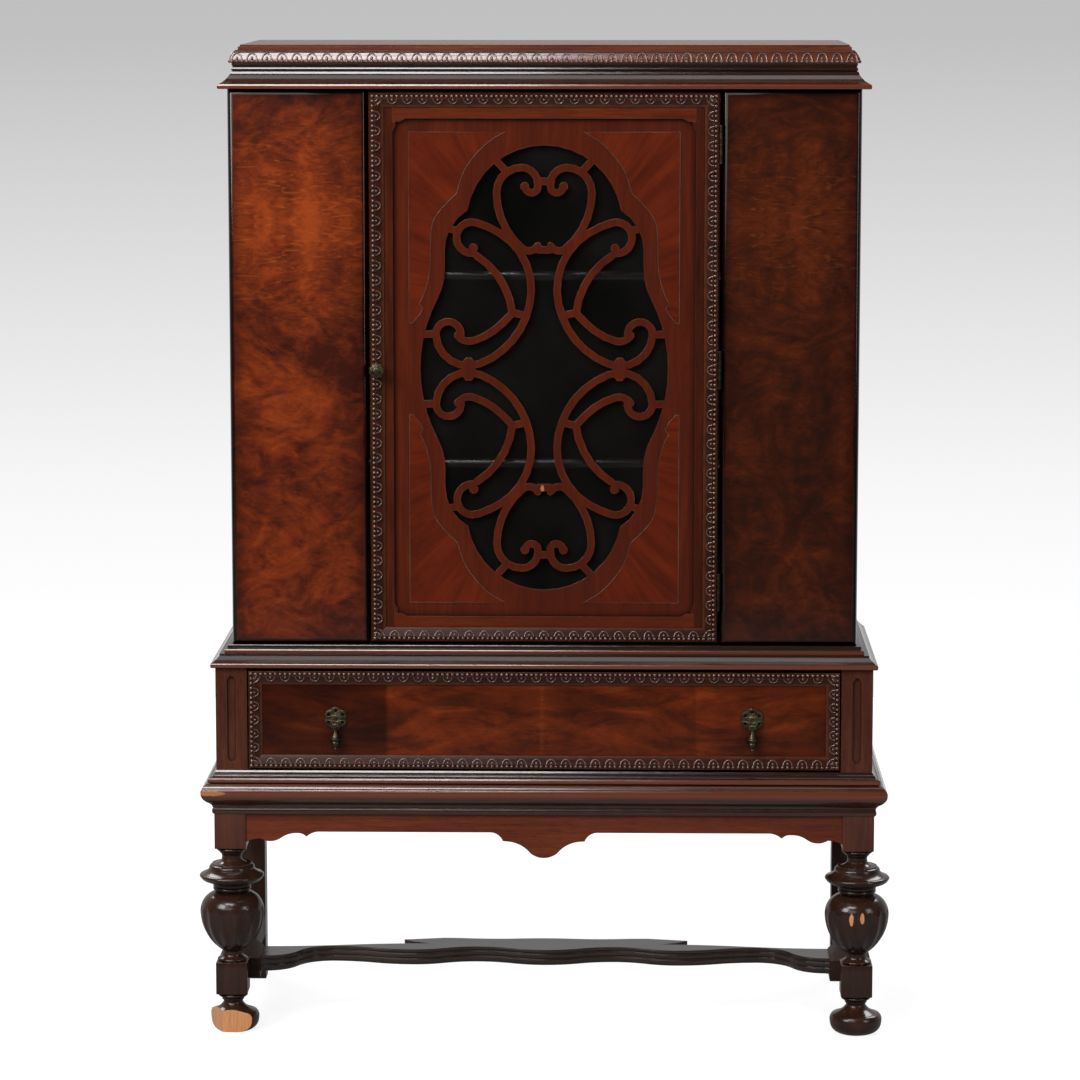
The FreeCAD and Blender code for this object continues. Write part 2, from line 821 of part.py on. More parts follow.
def drawer_runner(name, side):
    """Runner under one drawer side, with a guide beside it."""
    wall = case_half - S.case_board
    guide = opening_half - S.drawer_side_gap + S.slide_clearance
    low, shelf = base_top, base_top + S.runner_thickness
    high = shelf + S.runner_guide_height
    section = [(side * wall, low), (side * wall, high), (side * guide, high), (side * guide, shelf),
               (side * (wall - S.runner_width), shelf), (side * (wall - S.runner_width), low)]
    return prism(f"drawer_runner_{name}", "XZ_Plane", section, case_front + S.corner_stile_thickness, case_back)


def build_upper_case():
    """Boards, fixed front panels, shelves, cornice and top of the upper case."""
    low, high = waist_top, cornice_bottom
    step = S.upper_base_projection
    profile = [
        (size(0), low),
        (step, low),
        (step, low + S.upper_base_height * 0.4),
        (step * 0.9, low + S.upper_base_height * 0.5),
        (step * 0.55, low + S.upper_base_height * 0.5),
        (step * 0.55, low + S.upper_base_height * 0.8),
        (step * 0.25, low + S.upper_base_height, bow(S.upper_base_height * 0.33, S.upper_base_height * 0.06)),
        (size(0), low + S.upper_base_height),
    ]
    lengths = mitred_round("upper_base_moulding", profile, upper_half, upper_front, step)
    keep(group("upper_base_moulding", lengths))
    keep(board("upper_side_left", (-upper_half, -upper_inner), (front_back, back), (low, high)))
    keep(board("upper_side_right", (upper_inner, upper_half), (front_back, back), (low, high)))
    floor = new_body("upper_bottom")
    sill = low + S.upper_base_height
    inside = rectangle(-upper_inner, upper_inner, front_back, case_back)
    pad(floor, "XY_Plane", inside, low, low + S.floor_board)
    pad(floor, "XY_Plane", rectangle(-panel_inner, panel_inner, upper_front, front_back), low, sill)
    keep(floor)
    keep(board("upper_top", (-upper_inner, upper_inner), (front_back, case_back), (high - S.upper_board, high)))
    cornice_half = upper_half + S.cornice_projection - S.cornice_thickness
    back_outline = [(-upper_inner, low), (upper_inner, low), (upper_inner, high), (cornice_half, high),
                    (cornice_half, top_bottom), (-cornice_half, top_bottom), (-cornice_half, high),
                    (-upper_inner, high)]
    keep(prism("upper_back", "XZ_Plane", back_outline, case_back, back))
    for name, side in (("left", -1), ("right", 1)):
        keep(front_panel(f"front_panel_{name}", side))
    for name, level in (("upper", upper_shelf), ("lower", lower_shelf)):
        keep(shelf(f"shelf_{name}", level))
    keep(shelf_cleats())
    build_cornice(cornice_half)


def front_panel(label, side):
    """Fixed front panel with rounded upright edges."""
    edge = S.panel_edge
    outline = [
        (side * panel_inner, front_back),
        (side * panel_inner, upper_front + edge),
        (side * (panel_inner + edge), upper_front, side * edge),
        (side * (upper_half - edge), upper_front),
        (side * upper_half, upper_front + edge, side * edge),
        (side * upper_half, front_back),
    ]
    return prism(label, "XY_Plane", outline, waist_top, cornice_bottom)


def shelf(label, level):
    """Shelf with a rounded front edge, clear of the sides by the panel clearance."""
    front = front_back + S.shelf_setback
    low = level - S.shelf_thickness
    nose = S.shelf_thickness * 0.3
    outline = [
        (front + nose, low, bow(S.shelf_thickness, nose)),
        (case_back, low),
        (case_back, level),
        (front + nose, level),
    ]
    half = upper_inner - S.panel_clearance
    return prism(label, "YZ_Plane", outline, -half, half)


def shelf_cleats():
    """A cleat at each end of each shelf."""
    cleats = []
    outer, inner = upper_inner, upper_inner - S.cleat_width
    span = (front_back + S.shelf_setback + S.cleat_setback, case_back)
    for name, level in (("upper", upper_shelf), ("lower", lower_shelf)):
        under = level - S.shelf_thickness
        height = (under - S.cleat_height, under)
        cleats.append(board(f"{name}_cleat_left", (-outer, -inner), span, height))
        cleats.append(board(f"{name}_cleat_right", (inner, outer), span, height))
    return group("shelf_cleats", cleats)


def build_cornice(half):
    """Cornice moulding, carved band and top board."""
    out = S.cornice_thickness
    low, high = cornice_bottom, band_bottom
    rise = S.cornice_height
    front = upper_front - S.cornice_projection + out
    profile = [
        (size(0), low),
        (out * 0.94, low),
        (out * 0.94, low + rise * 0.16, bow(rise * 0.16, out * 0.06)),
        (out * 0.87, low + rise * 0.18),
        (out * 0.78, low + rise * 0.3),
        (out * 0.6, low + rise * 0.6, -rise * 0.55),
        (out * 0.47, low + rise * 0.6),
        (out * 0.47, low + rise * 0.76),
        (out * 0.42, low + rise * 0.76),
        (out * 0.42, low + rise * 0.95),
        (out * 0.46, low + rise * 0.95),
        (out * 0.46, high),
        (size(0), high),
    ]
    keep(group("cornice_moulding", mitred_round("cornice_moulding", profile, half, front, out)))
    band = upper_half - S.band_recess - half
    profile = [
        (size(0), high),
        (band * 0.92, high),
        (band * 0.92, high + S.band_height * 0.1),
        (band, high + S.band_height * 0.1),
        (band, high + S.band_height * 0.78),
        (band * 0.9, high + S.band_height * 0.78),
        (band * 0.9, top_bottom),
        (size(0), top_bottom),
    ]
    keep(group("cornice_carved_band", mitred_round("cornice_carved_band", profile, half, front, band)))
    top_half = upper_half - S.top_recess
    top_front = upper_front + S.top_recess
    lid = new_body("top_board")
    pad(lid, "XY_Plane", rectangle(-top_half, top_half, top_front, back), top_bottom,
        top_bottom + S.top_thickness - S.top_edge)
    edge = S.top_edge
    outline = rectangle(edge - top_half, top_half - edge, top_front + edge, back)
    pad(lid, "XY_Plane", outline, top_bottom + S.top_thickness - edge, top_bottom + S.top_thickness)
    keep(lid)


def carved_profile():
    """Section of the carved mouldings: a seat for a row of beads, a slope for lunettes, a fillet."""
    width, rise = S.carved_width, S.carved_rise
    return [
        (size(0), size(0)),
        (size(0), rise * 0.5),
        (width * 0.31, rise * 0.5),
        (width * 0.31, rise),
        (width * 0.77, rise * 0.5),
        (width, rise * 0.2),
        (width, size(0)),
    ]


def build_door():
    """Frame, carved moulding, fretwork, glass, stops and hinge leaves of the door."""
    tab, reach = S.door_tab, S.door_tab_length
    inner_top, inner_bottom = opening_top - tab, opening_bottom + tab
    knob_x, knob_z = S.knob_inset - door_half, door_middle
    for name, side in (("left", -1), ("right", 1)):
        stile = new_body(f"door_stile_{name}")
        edge, inner, step = side * door_half, side * stile_inner, side * (stile_inner - tab)
        lip = [
            (edge, door_bottom), (inner, door_bottom), (inner, inner_bottom), (step, inner_bottom),
            (step, inner_bottom + reach * 0.4), (inner, inner_bottom + reach),
            (inner, inner_top - reach), (step, inner_top - reach * 0.4), (step, inner_top),
            (inner, inner_top), (inner, door_top), (edge, door_top),
        ]
        pad(stile, "XZ_Plane", lip, upper_front, lip_back)
        rebate = side * rebate_half
        post = [(edge, door_bottom), (rebate, door_bottom), (rebate, door_top), (edge, door_top)]
        pad(stile, "XZ_Plane", post, lip_back, front_back)
        if side < 0:
            hole = (knob_x, knob_z, spindle_hole)
            pocket(stile, "XZ_Plane", hole, upper_front, front_back)
        keep(stile)
    rails = ("top", door_top, opening_top, 1), ("bottom", door_bottom, opening_bottom, -1)
    for name, outer, opening, side in rails:
        rail = new_body(f"door_rail_{name}")
        step = opening - side * tab
        half = stile_inner
        lip = [
            (-half, outer), (-half, step), (tab + reach * 0.4 - half, step), (tab + reach - half, opening),
            (half - tab - reach, opening), (half - tab - reach * 0.4, step), (half, step), (half, outer),
        ]
        pad(rail, "XZ_Plane", lip, upper_front, lip_back)
        rebate = opening + side * S.door_lip
        bar = [(-rebate_half, outer), (-rebate_half, rebate), (rebate_half, rebate), (rebate_half, outer)]
        pad(rail, "XZ_Plane", bar, lip_back, front_back)
        keep(rail)
    inset = S.carved_inset
    lengths = mitred_frame("door_moulding", carved_profile(), door_half - inset,
                           door_bottom + inset, door_top - inset, upper_front)
    forward = FreeCAD.Rotation(FreeCAD.Vector(1, 0, 0), 90)
    drill = rod("knob_drill", spindle_hole, S.front_thickness, knob_x, upper_front, knob_z, forward)
    lengths[2] = cut("door_moulding_left_drilled", lengths[2], drill)
    keep(group("door_moulding", lengths))
    keep(fret_panel())
    gap = S.panel_clearance
    low, high = opening_bottom - S.door_lip + gap, opening_top + S.door_lip - gap
    keep(board("glass_pane", (gap - rebate_half, rebate_half - gap), (glass_front, glass_back), (low, high)))
    width, deep = S.glass_stop_width, front_back - glass_back
    stop = [(size(0), size(0)), (width * 0.5, size(0)), (width, deep * 0.5), (width, deep), (size(0), deep)]
    stops = mitred_frame("glass_stop", stop, rebate_half, opening_bottom - S.door_lip,
                         opening_top + S.door_lip, front_back)
    keep(group("glass_stops", stops))


class Walk:
    """A line of straight runs and tangent curves cut in short flats, drawn on the panel as (across, up)."""

    def __init__(self, start, heading, moves):
        self.flat = SIZES["fret_flat_length"] / fret_scale
        self.spots = [start]
        self.headings = [math.radians(heading)]
        for radius, turn in moves:
            if radius == 0:
                self.run(turn)
            else:
                self.curve(radius, math.radians(turn))

    def run(self, length):
        """A straight run on the last heading."""
        (across, up), heading = self.spots[-1], self.headings[-1]
        self.headings.append(heading)
        self.spots.append((across + length * math.cos(heading), up + length * math.sin(heading)))

    def curve(self, radius, turn):
        """An arc of a radius and a turn, in flats of an even turn."""
        (across, up), heading = self.spots[-1], self.headings[-1]
        side = math.copysign(radius, turn)
        centre_across, centre_up = across - side * math.sin(heading), up + side * math.cos(heading)
        most_turn = min(math.radians(SIZES["fret_flat_angle"]), self.flat / radius)
        flats = math.ceil(abs(turn) / most_turn)
        for index in range(1, flats + 1):
            angle = heading + turn * index / flats
            self.headings.append(angle)
            self.spots.append((centre_across + side * math.sin(angle), centre_up - side * math.cos(angle)))

    def side_edges(self, offset, spot):
        """Edges of the line moved sideways by the offset, placed by a function."""
        stops = []
        for (across, up), heading in zip(self.spots, self.headings):
            stops.append(spot(across - offset * math.sin(heading), up + offset * math.cos(heading)))
        return [Part.LineSegment(*pair).toShape() for pair in zip(stops, stops[1:])]

    def band(self, width, spot):
        """Face of a band along the line, with its ends chamfered."""
        half = width / 2
        edges = self.side_edges(half, spot) + self.side_edges(-half, spot)
        for index, way in ((0, -1), (-1, 1)):
            (across, up), heading = self.spots[index], self.headings[index]
            forward = (way * math.cos(heading), way * math.sin(heading))
            aside = (-math.sin(heading), math.cos(heading))
            corners = []
            for ahead, left in ((0, half), (half * 0.8, half * 0.4), (half * 0.8, -half * 0.4), (0, -half)):
                corners.append(spot(across + ahead * forward[0] + left * aside[0],
                                    up + ahead * forward[1] + left * aside[1]))
            edges += [Part.LineSegment(*pair).toShape() for pair in zip(corners, corners[1:])]
        return Part.Face(Part.Wire(Part.sortEdges(edges)[0]))


# The fretwork, drawn for one quarter of the opening from its middle up: each line is a
# start, a heading in degrees and its arcs as (radius, turn), or (0, length) for a run.
FRET_EDGE = ((0, 357), 0, [(124, -80.5)])
FRET_SHOULDER = ((122.3, 254), -31, [(75, -59), (0, 30), (100, 27.7), (244, -27.7)])
FRET_LINES = [
    ((30, 292), -90, [(10, -180), (0, 4), (26, -90), (40, -90), (116, -50), (16, -105)]),
    ((134, 51), 105, [(20, -197), (52, -110), (130, -66), (104, -61), (165, -14), (25, -203)]),
    ((51, 90), 84, [(124, -52)]),
    ((51, 90), -46, [(0, 22), (108, 30), (22, 75)]),
    ((30, 86), 13, [(0, 22)]),
    ((80, 337), -133, [(0, 26)]),
    ((162, 227), -167, [(0, 24)]),
    ((200, 56), 180, [(0, 24)]),
    ((-12, 300), 0, [(0, 24)]),
    ((-10, 191), 0, [(0, 20)]),
    ((121, -10), 90, [(0, 20)]),
]
FRET_KNOBS = [(31, 292), (136, 55), (113, 194)]
fret_scale = S.fret_height.number / 2 / FRET_EDGE[0][1]


def fret_opening(spot):
    """Face of the whole shaped opening, from its four quarters."""
    edges = []
    for flip_across, flip_up in ((1, 1), (-1, 1), (1, -1), (-1, -1)):
        def quarter(across, up, flip_across=flip_across, flip_up=flip_up):
            return spot(flip_across * across, flip_up * up)

        crown, shoulder = Walk(*FRET_EDGE), Walk(*FRET_SHOULDER)
        shoulder.spots[0] = crown.spots[-1]
        shoulder.spots[-1] = (shoulder.spots[-1][0], 0)
        edges += crown.side_edges(0, quarter) + shoulder.side_edges(0, quarter)
    return Part.Face(Part.Wire(Part.sortEdges(edges)[0]))


def fret_panel():
    """Door panel pierced with scrolls: two hearts and four pairs of C scrolls in one board."""
    middle = door_middle.number
    plane = lip_back.number

    def spot(across, up):
        return FreeCAD.Vector(across * fret_scale, plane, middle + up * fret_scale)

    knob = S.fret_knob.number / 2 / fret_scale
    gap = S.panel_clearance.number
    half = rebate_half.number - gap
    low = (opening_bottom - S.door_lip).number + gap
    high = (opening_top + S.door_lip).number - gap
    outline = ((-half, low), (half, low), (half, high), (-half, high))
    corners = [FreeCAD.Vector(x, plane, z) for x, z in outline]
    panel = Part.Face(Part.makePolygon(corners + corners[:1])).cut(fret_opening(spot))
    bands = []
    for flip_across, flip_up in ((1, 1), (-1, 1), (1, -1), (-1, -1)):
        def quarter(across, up, flip_across=flip_across, flip_up=flip_up):
            return spot(flip_across * across, flip_up * up)

        for index, line in enumerate(FRET_LINES):
            width = S.fret_bridge if index == len(FRET_LINES) - 1 else S.fret_band
            bands.append(Walk(*line).band(width.number / fret_scale, quarter))
        for across, up in FRET_KNOBS:
            corners = []
            for index in range(9):
                angle = math.radians(22.5 + 45 * index)
                corners.append(quarter(across + knob * math.cos(angle), up + knob * math.sin(angle)))
            bands.append(Part.Face(Part.makePolygon(corners)))
    thickness = FreeCAD.Vector(0, S.fret_thickness.number, 0)
    pieces = [band.extrude(thickness) for band in bands]
    fret = doc.addObject("Part::Feature", "fret_panel")
    fret.Shape = panel.extrude(thickness).fuse(pieces).removeSplitter()
    return fret


def hinge_leaf(label, low, side, start, end):
    """Hinge leaf with one knuckle, which runs between two shares of the hinge's height."""
    outer = hinge_x + side * S.door_gap / 2
    inner = outer - side * S.hinge_leaf
    plate_front = upper_front + S.running_fit * 4
    plate_back = upper_front + S.hinge_leaf_width
    bottom, top = low + S.hinge_height * start, low + S.hinge_height * end
    leaf = new_body(label)
    plate = [(inner, plate_front), (outer, plate_front), (outer, plate_back), (inner, plate_back)]
    pad(leaf, "XY_Plane", plate, low, low + S.hinge_height)
    web = [(inner, hinge_y), (outer, hinge_y), (outer, plate_front), (inner, plate_front)]
    pad(leaf, "XY_Plane", web, bottom, top)
    barrel = []
    for index in range(SIZES["hinge_barrel_sides"]):
        angle = 2 * math.pi * index / SIZES["hinge_barrel_sides"]
        radius = S.hinge_barrel / 2
        barrel.append((hinge_x + radius * math.cos(angle), hinge_y + radius * math.sin(angle)))
    pad(leaf, "XY_Plane", barrel, bottom, top)
    return leaf


def build_hinges():
    """Three loose-joint hinges: a case leaf with its pin under a door leaf with its bore."""
    case_leaves, door_leaves = [], []
    for index, level in enumerate((door_bottom + S.hinge_inset, door_middle, door_top - S.hinge_inset)):
        low = level - S.hinge_height / 2
        high = low + S.hinge_height
        case_leaf = hinge_leaf(f"case_leaf_{index}", low, 1, 0, 0.495)
        pad(case_leaf, "XY_Plane", (hinge_x, hinge_y, S.hinge_pin / 2), level - S.hinge_barrel, high)
        case_leaves.append(case_leaf)
        door_leaf = hinge_leaf(f"door_leaf_{index}", low, -1, 0.505, 1)
        pocket(door_leaf, "XY_Plane", (hinge_x, hinge_y, S.hinge_pin / 2 + S.running_fit), level, high)
        door_leaves.append(door_leaf)
    keep(group("hinge_leaves_case", case_leaves))
    keep(group("hinge_leaves_door", door_leaves))


def build_latch():
    """Turning knob, its spindle and the latch bar behind the door."""
    forward = FreeCAD.Rotation(FreeCAD.Vector(1, 0, 0), 90)
    knob_x = S.knob_inset - door_half
    seat = upper_front - S.carved_rise - S.slide_clearance
    wide, long = S.knob_diameter / 2, S.knob_length
    knob = turned("door_knob", [
        (wide * 0.62, 0),
        (wide * 0.3, long * 0.2),
        (wide * 0.3, long * 0.4),
        (wide, long * 0.62),
        (wide * 0.9, long * 0.86),
        (wide * 0.5, long),
    ], SIZES["small_turning_sides"])
    keep(place(knob, knob_x, seat, door_middle, forward))
    bar_front = front_back + S.slide_clearance
    half = S.spindle_width / 2
    across, up = (knob_x - half, knob_x + half), (door_middle - half, door_middle + half)
    keep(board("latch_spindle", across, (seat, bar_front), up))
    half = S.latch_bar_width / 2
    tail = door_middle - S.latch_bar_length + half
    outline = [
        (knob_x - half, door_middle + half), (knob_x - half, tail + half), (knob_x - half * 0.4, tail),
        (knob_x + half * 0.4, tail), (knob_x + half, tail + half), (knob_x + half, door_middle + half),
    ]
    keep(prism("latch_bar", "XZ_Plane", outline, bar_front, bar_front + S.latch_bar_thickness))


def build_drawer():
    """Drawer box, its carved moulding and its two drop pulls."""
    height = (drawer_bottom, drawer_top)
    keep(board("drawer_front", (-drawer_half, drawer_half), (case_front, drawer_face_back), height))
    outer = opening_half - S.drawer_side_gap
    inner = outer - S.drawer_side_thickness
    low = base_top + S.runner_thickness + S.slide_clearance
    side_span = (drawer_face_back, drawer_end)
    side_height = (low, low + S.drawer_side_height)
    keep(board("drawer_side_left", (-outer, -inner), side_span, side_height))
    keep(board("drawer_side_right", (inner, outer), side_span, side_height))
    back_span = (drawer_end - S.drawer_side_thickness, drawer_end)
    keep(board("drawer_back", (-inner, inner), back_span, side_height))
    floor = low + S.drawer_bottom_lift
    bottom_span = (drawer_face_back, drawer_end - S.drawer_side_thickness)
    keep(board("drawer_bottom", (-inner, inner), bottom_span, (floor, floor + S.drawer_bottom_thickness)))
    profile = carved_profile()
    lengths = mitred_frame("drawer_moulding", profile, drawer_half, drawer_bottom, drawer_top, case_front)
    keep(group("drawer_moulding", lengths))
    plates = []
    for name, side in (("left", -1), ("right", 1)):
        plate = pull_plate(f"pull_plate_{name}")
        plates.append(place(plate, side * (drawer_half - S.pull_inset), case_front, base_top + S.pull_level))
    keep(group("pull_plates", plates))
    for name, side in (("left", -1), ("right", 1)):
        drop = pull_drop(f"pull_drop_{name}")
        level = base_top + S.pull_level - S.pull_plate_diameter * 0.24
        keep(place(drop, side * (drawer_half - S.pull_inset), case_front - S.pull_reach, level))


def pull_plate(label):
    """Pierced star rosette with two ears that hold the drop's pin."""
    plate = new_body(label)
    wide = S.pull_plate_diameter / 2
    thick = S.pull_plate_thickness
    step = 2 * math.pi / SIZES["pull_lobe_count"]
    star = []
    for index in range(SIZES["pull_lobe_count"]):
        for share, radius in ((-0.3, wide), (0.3, wide), (0.5, wide * 0.86)):
            angle = (index + share) * step
            star.append((radius * math.sin(angle), radius * math.cos(angle)))
    pad(plate, "XZ_Plane", star, -thick, 0)
    hole = wide * 0.15
    ring = wide * 0.62
    diamond = [(-hole, ring), (size(0), ring - hole), (hole, ring), (size(0), ring + hole)]
    holes = pocket(plate, "XZ_Plane", diamond, -thick, 0)
    polar_pattern(plate, holes, S.pull_lobe_count)
    level = -S.pull_plate_diameter * 0.24
    half = S.pull_eye * 0.42
    ear = [
        (-thick, level + half), (-S.pull_reach, level + half), (-S.pull_reach - half, level + half * 0.4),
        (-S.pull_reach - half, level - half * 0.4), (-S.pull_reach, level - half), (-thick, level - half),
    ]
    near = S.pull_eye_width / 2 + S.slide_clearance
    far = near + S.pull_ear
    pad(plate, "YZ_Plane", ear, near, far)
    pad(plate, "YZ_Plane", ear, -far, -near)
    pad(plate, "YZ_Plane", (-S.pull_reach, level, S.pull_pin / 2), -far, far)
    return plate


def pull_drop(label):
    """Turned drop that hangs from a drilled lug."""
    wide, long = S.pull_drop_diameter / 2, S.pull_drop_length
    turning = turned(f"{label}_turning", [
        (wide * 0.1, -long),
        (wide * 0.3, long * -0.84),
        (wide * 0.86, long * -0.64),
        (wide, long * -0.5),
        (wide * 0.26, long * -0.25),
        (wide * 0.26, S.pull_eye * -0.4),
    ], SIZES["small_turning_sides"])
    half, width = S.pull_eye / 2, S.pull_eye_width / 2
    lug = prism(f"{label}_lug", "YZ_Plane", rectangle(-half, half, -half, half), -width, width)
    pocket(lug, "YZ_Plane", (0, 0, S.pull_pin / 2 + S.running_fit), -width, width)
    return fuse(label, [turning, lug])


def check_and_write():
    """Stops on any failed object, and writes one file for each node."""
    doc.recompute()
    for item in doc.Objects:
        if "Invalid" in item.State or "Error" in item.State:
            raise RuntimeError(f"{item.Label} failed: {item.State}")
    os.makedirs("parts", exist_ok=True)
    for node in nodes:
        if node.Shape.isNull() or not node.Shape.isValid():
            raise RuntimeError(f"{node.Label} has no valid shape")
    for node in nodes:
        node.Shape.exportStep(f"parts/{node.Label}.step")
        print(node.Label, len(node.Shape.Solids), round(node.Shape.Volume / 1000, 1))


build_stand()
build_drawer_case()
build_upper_case()
build_door()
build_hinges()
build_latch()
build_drawer()
check_and_write()
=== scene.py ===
import math
from functools import partialmethod

import bmesh
import bpy
from mathutils import Matrix, Vector


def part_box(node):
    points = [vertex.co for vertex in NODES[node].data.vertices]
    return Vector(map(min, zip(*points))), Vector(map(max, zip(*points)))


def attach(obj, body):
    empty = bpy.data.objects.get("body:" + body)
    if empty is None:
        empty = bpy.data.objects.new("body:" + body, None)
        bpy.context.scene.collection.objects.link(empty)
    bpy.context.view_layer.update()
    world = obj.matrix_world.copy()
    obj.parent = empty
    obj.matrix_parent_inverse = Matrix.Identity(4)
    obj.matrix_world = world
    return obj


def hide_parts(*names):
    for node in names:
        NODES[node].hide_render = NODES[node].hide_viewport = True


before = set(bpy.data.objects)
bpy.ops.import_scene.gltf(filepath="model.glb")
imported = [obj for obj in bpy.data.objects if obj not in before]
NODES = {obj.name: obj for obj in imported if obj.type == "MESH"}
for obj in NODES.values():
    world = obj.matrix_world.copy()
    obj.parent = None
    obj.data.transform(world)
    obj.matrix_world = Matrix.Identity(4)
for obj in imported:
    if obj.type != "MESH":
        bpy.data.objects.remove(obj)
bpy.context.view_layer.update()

MM = 0.001
SAME = 1e-6
SIDES = {"left": -1, "right": 1}
FORWARD = (0, -1, 0)
door_low, door_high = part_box("door_moulding")
DOOR_MIDDLE = (door_low.z + door_high.z) / 2


# Node helpers

def tone(colour):
    """A colour with its alpha, from three numbers or one grey; an output stays as it is."""
    if isinstance(colour, bpy.types.NodeSocket):
        return colour
    return (colour, colour, colour, 1) if isinstance(colour, (int, float)) else (*colour, 1)


class Web:
    """A tree of nodes, with short words for the ones used most."""

    def __init__(self, tree):
        self.tree = tree

    def fill(self, node, inputs):
        """Gives a node's inputs their values, or links them to outputs."""
        for key, value in inputs.items():
            if isinstance(value, bpy.types.NodeSocket):
                self.tree.links.new(value, node.inputs[key])
            else:
                node.inputs[key].default_value = value

    def node(self, kind, inputs=None, **settings):
        """Adds a node, sets it and fills it."""
        made = self.tree.nodes.new(kind)
        for key, value in settings.items():
            setattr(made, key, value)
        self.fill(made, inputs or {})
        return made

    def out(self, kind, inputs=None, socket=0, **settings):
        """One output of a new node."""
        return self.node(kind, inputs, **settings).outputs[socket]

    def reckon(self, way, *numbers):
        """One number from others, by the named arithmetic."""
        return self.out("ShaderNodeMath", dict(enumerate(numbers)), operation=way)

    plus = partialmethod(reckon, "ADD")
    less = partialmethod(reckon, "SUBTRACT")
    times = partialmethod(reckon, "MULTIPLY")
    scaled = partialmethod(reckon, "MULTIPLY_ADD")
    size = partialmethod(reckon, "ABSOLUTE")

    def weighed(self, first, *others):
        """The sum of numbers, each times its weight."""
        total = self.times(*first)
        for number, weight in others:
            total = self.scaled(number, weight, total)
        return total

    def tint(self, share, first, second, way="MIX"):
        """Lays the second colour over the first by a share."""
        inputs = {0: share, 6: tone(first), 7: tone(second)}
        return self.out("ShaderNodeMix", inputs, 2, data_type="RGBA", blend_type=way)

    def shade(self, colour, by, share=1.0):
        """Darkens a colour by another one or a grey."""
        return self.tint(share, colour, by, "MULTIPLY")

    def ramp(self, share, *stops):
        """Colours along a number from 0 to 1."""
        node = self.node("ShaderNodeValToRGB", {0: share})
        line = node.color_ramp.elements
        for element, (place, colour) in zip((line[0], line[1]), (stops[0], stops[-1])):
            element.position = place
            element.color = tone(colour)
        for place, colour in stops[1:-1]:
            line.new(place).color = tone(colour)
        return node.outputs[0]

    def stain(self, figure, tones, low=0.3, high=0.7):
        """A dark, a middle and a light tone along the figure of the wood."""
        dark, middle, light = tones
        return self.ramp(figure, (low, dark), (0.5, middle), (high, light))

    def spot(self):
        return self.out("ShaderNodeTexCoord", None, "Object")

    def lay(self, stretch=(1, 1, 1), at=(0, 0, 0), turn=(0, 0, 0), spot=None):
        """The piece's own coordinates, stretched, turned and moved for a pattern."""
        inputs = {"Vector": spot or self.spot(), "Location": at, "Rotation": turn, "Scale": stretch}
        return self.out("ShaderNodeMapping", inputs)

    def axes(self, spot=None):
        return self.node("ShaderNodeSeparateXYZ", {0: spot or self.spot()}).outputs

    def joined(self, x, y, z):
        return self.out("ShaderNodeCombineXYZ", {0: x, 1: y, 2: z})

    def noise(self, scale, detail=4.0, roughness=0.55, distortion=0.0, spot=None):
        inputs = {"Vector": spot or self.lay(), "Scale": scale, "Detail": detail}
        inputs.update({"Roughness": roughness, "Distortion": distortion})
        return self.out("ShaderNodeTexNoise", inputs)

    def veneer(self, leaf, stretch, detail, roughness, distortion, at=(0, 0, 0), slant=0):
        """Figure of a leaf of veneer, so many waves to the metre each way and slanted by degrees."""
        spot = self.lay(stretch, at, (0, math.radians(slant), 0), leaf)
        return self.noise(1.0, detail, roughness, distortion, spot)

    def stored(self, name, kind="Fac"):
        """What the mesh keeps under this name."""
        return self.out("ShaderNodeAttribute", None, kind, attribute_name=name)

    def openness(self, reach, samples=6, **where):
        """How open the surface lies within a reach, from 0 to 1."""
        return self.out("ShaderNodeAmbientOcclusion", {"Distance": reach}, "AO", samples=samples, **where)

    def bump(self, height, strength, distance=0.0003, **normal):
        inputs = {"Strength": strength, "Distance": distance, "Height": height, **normal}
        return self.out("ShaderNodeBump", inputs)


# Stains, each with a dark, a middle and a light tone, and the burls with a glow besides

FRAME = (0.026, 0.0078, 0.004), (0.06, 0.014, 0.006), (0.11, 0.025, 0.009)
STILE = (0.036, 0.0115, 0.006), (0.08, 0.0215, 0.0105), (0.14, 0.038, 0.0165)
APRON = (0.062, 0.0125, 0.005), (0.125, 0.024, 0.008), (0.185, 0.038, 0.012)
TOP = (0.06, 0.014, 0.006), (0.13, 0.028, 0.01), (0.2, 0.045, 0.015)
RAIL = (0.05, 0.0095, 0.0037), (0.105, 0.0172, 0.0052), (0.16, 0.028, 0.0072)
TORUS_STAIN = (0.036, 0.01, 0.005), (0.085, 0.021, 0.0085), (0.15, 0.038, 0.014)
STRETCHER = (0.014, 0.0085, 0.0066), (0.03, 0.017, 0.0125), (0.058, 0.028, 0.019)
MOULDING = (0.016, 0.006, 0.004), (0.042, 0.0115, 0.0055), (0.085, 0.021, 0.0085)
DOOR = (0.026, 0.0058, 0.0025), (0.056, 0.0098, 0.0035), (0.098, 0.0168, 0.005)
FRET = (0.044, 0.0068, 0.0026), (0.078, 0.0108, 0.0033), (0.122, 0.0182, 0.0047)
SHELF = (0.012, 0.006, 0.004), (0.026, 0.011, 0.0068), (0.045, 0.018, 0.01)
TURNED = (0.012, 0.0058, 0.0042), (0.03, 0.0115, 0.007), (0.058, 0.0195, 0.0105)
CARVED = (0.012, 0.006, 0.0045), (0.026, 0.0105, 0.0068), (0.05, 0.018, 0.0105)
CARVED_GROUND = (0.016, 0.0055, 0.003), (0.034, 0.009, 0.0042), (0.062, 0.0155, 0.0062)
# Pale tones of the door's string: a painted highlight for the lit edge of its groove.
STRING_HIGHLIGHT_TONES = (0.05, 0.024, 0.014), (0.1, 0.05, 0.03), (0.16, 0.085, 0.052)
# Near-black inside of the upper case: painted shade, darker than the wood itself.
INSIDE_PAINTED_SHADE = (0.006, 0.004, 0.003), (0.012, 0.0065, 0.0045), (0.02, 0.01, 0.006)
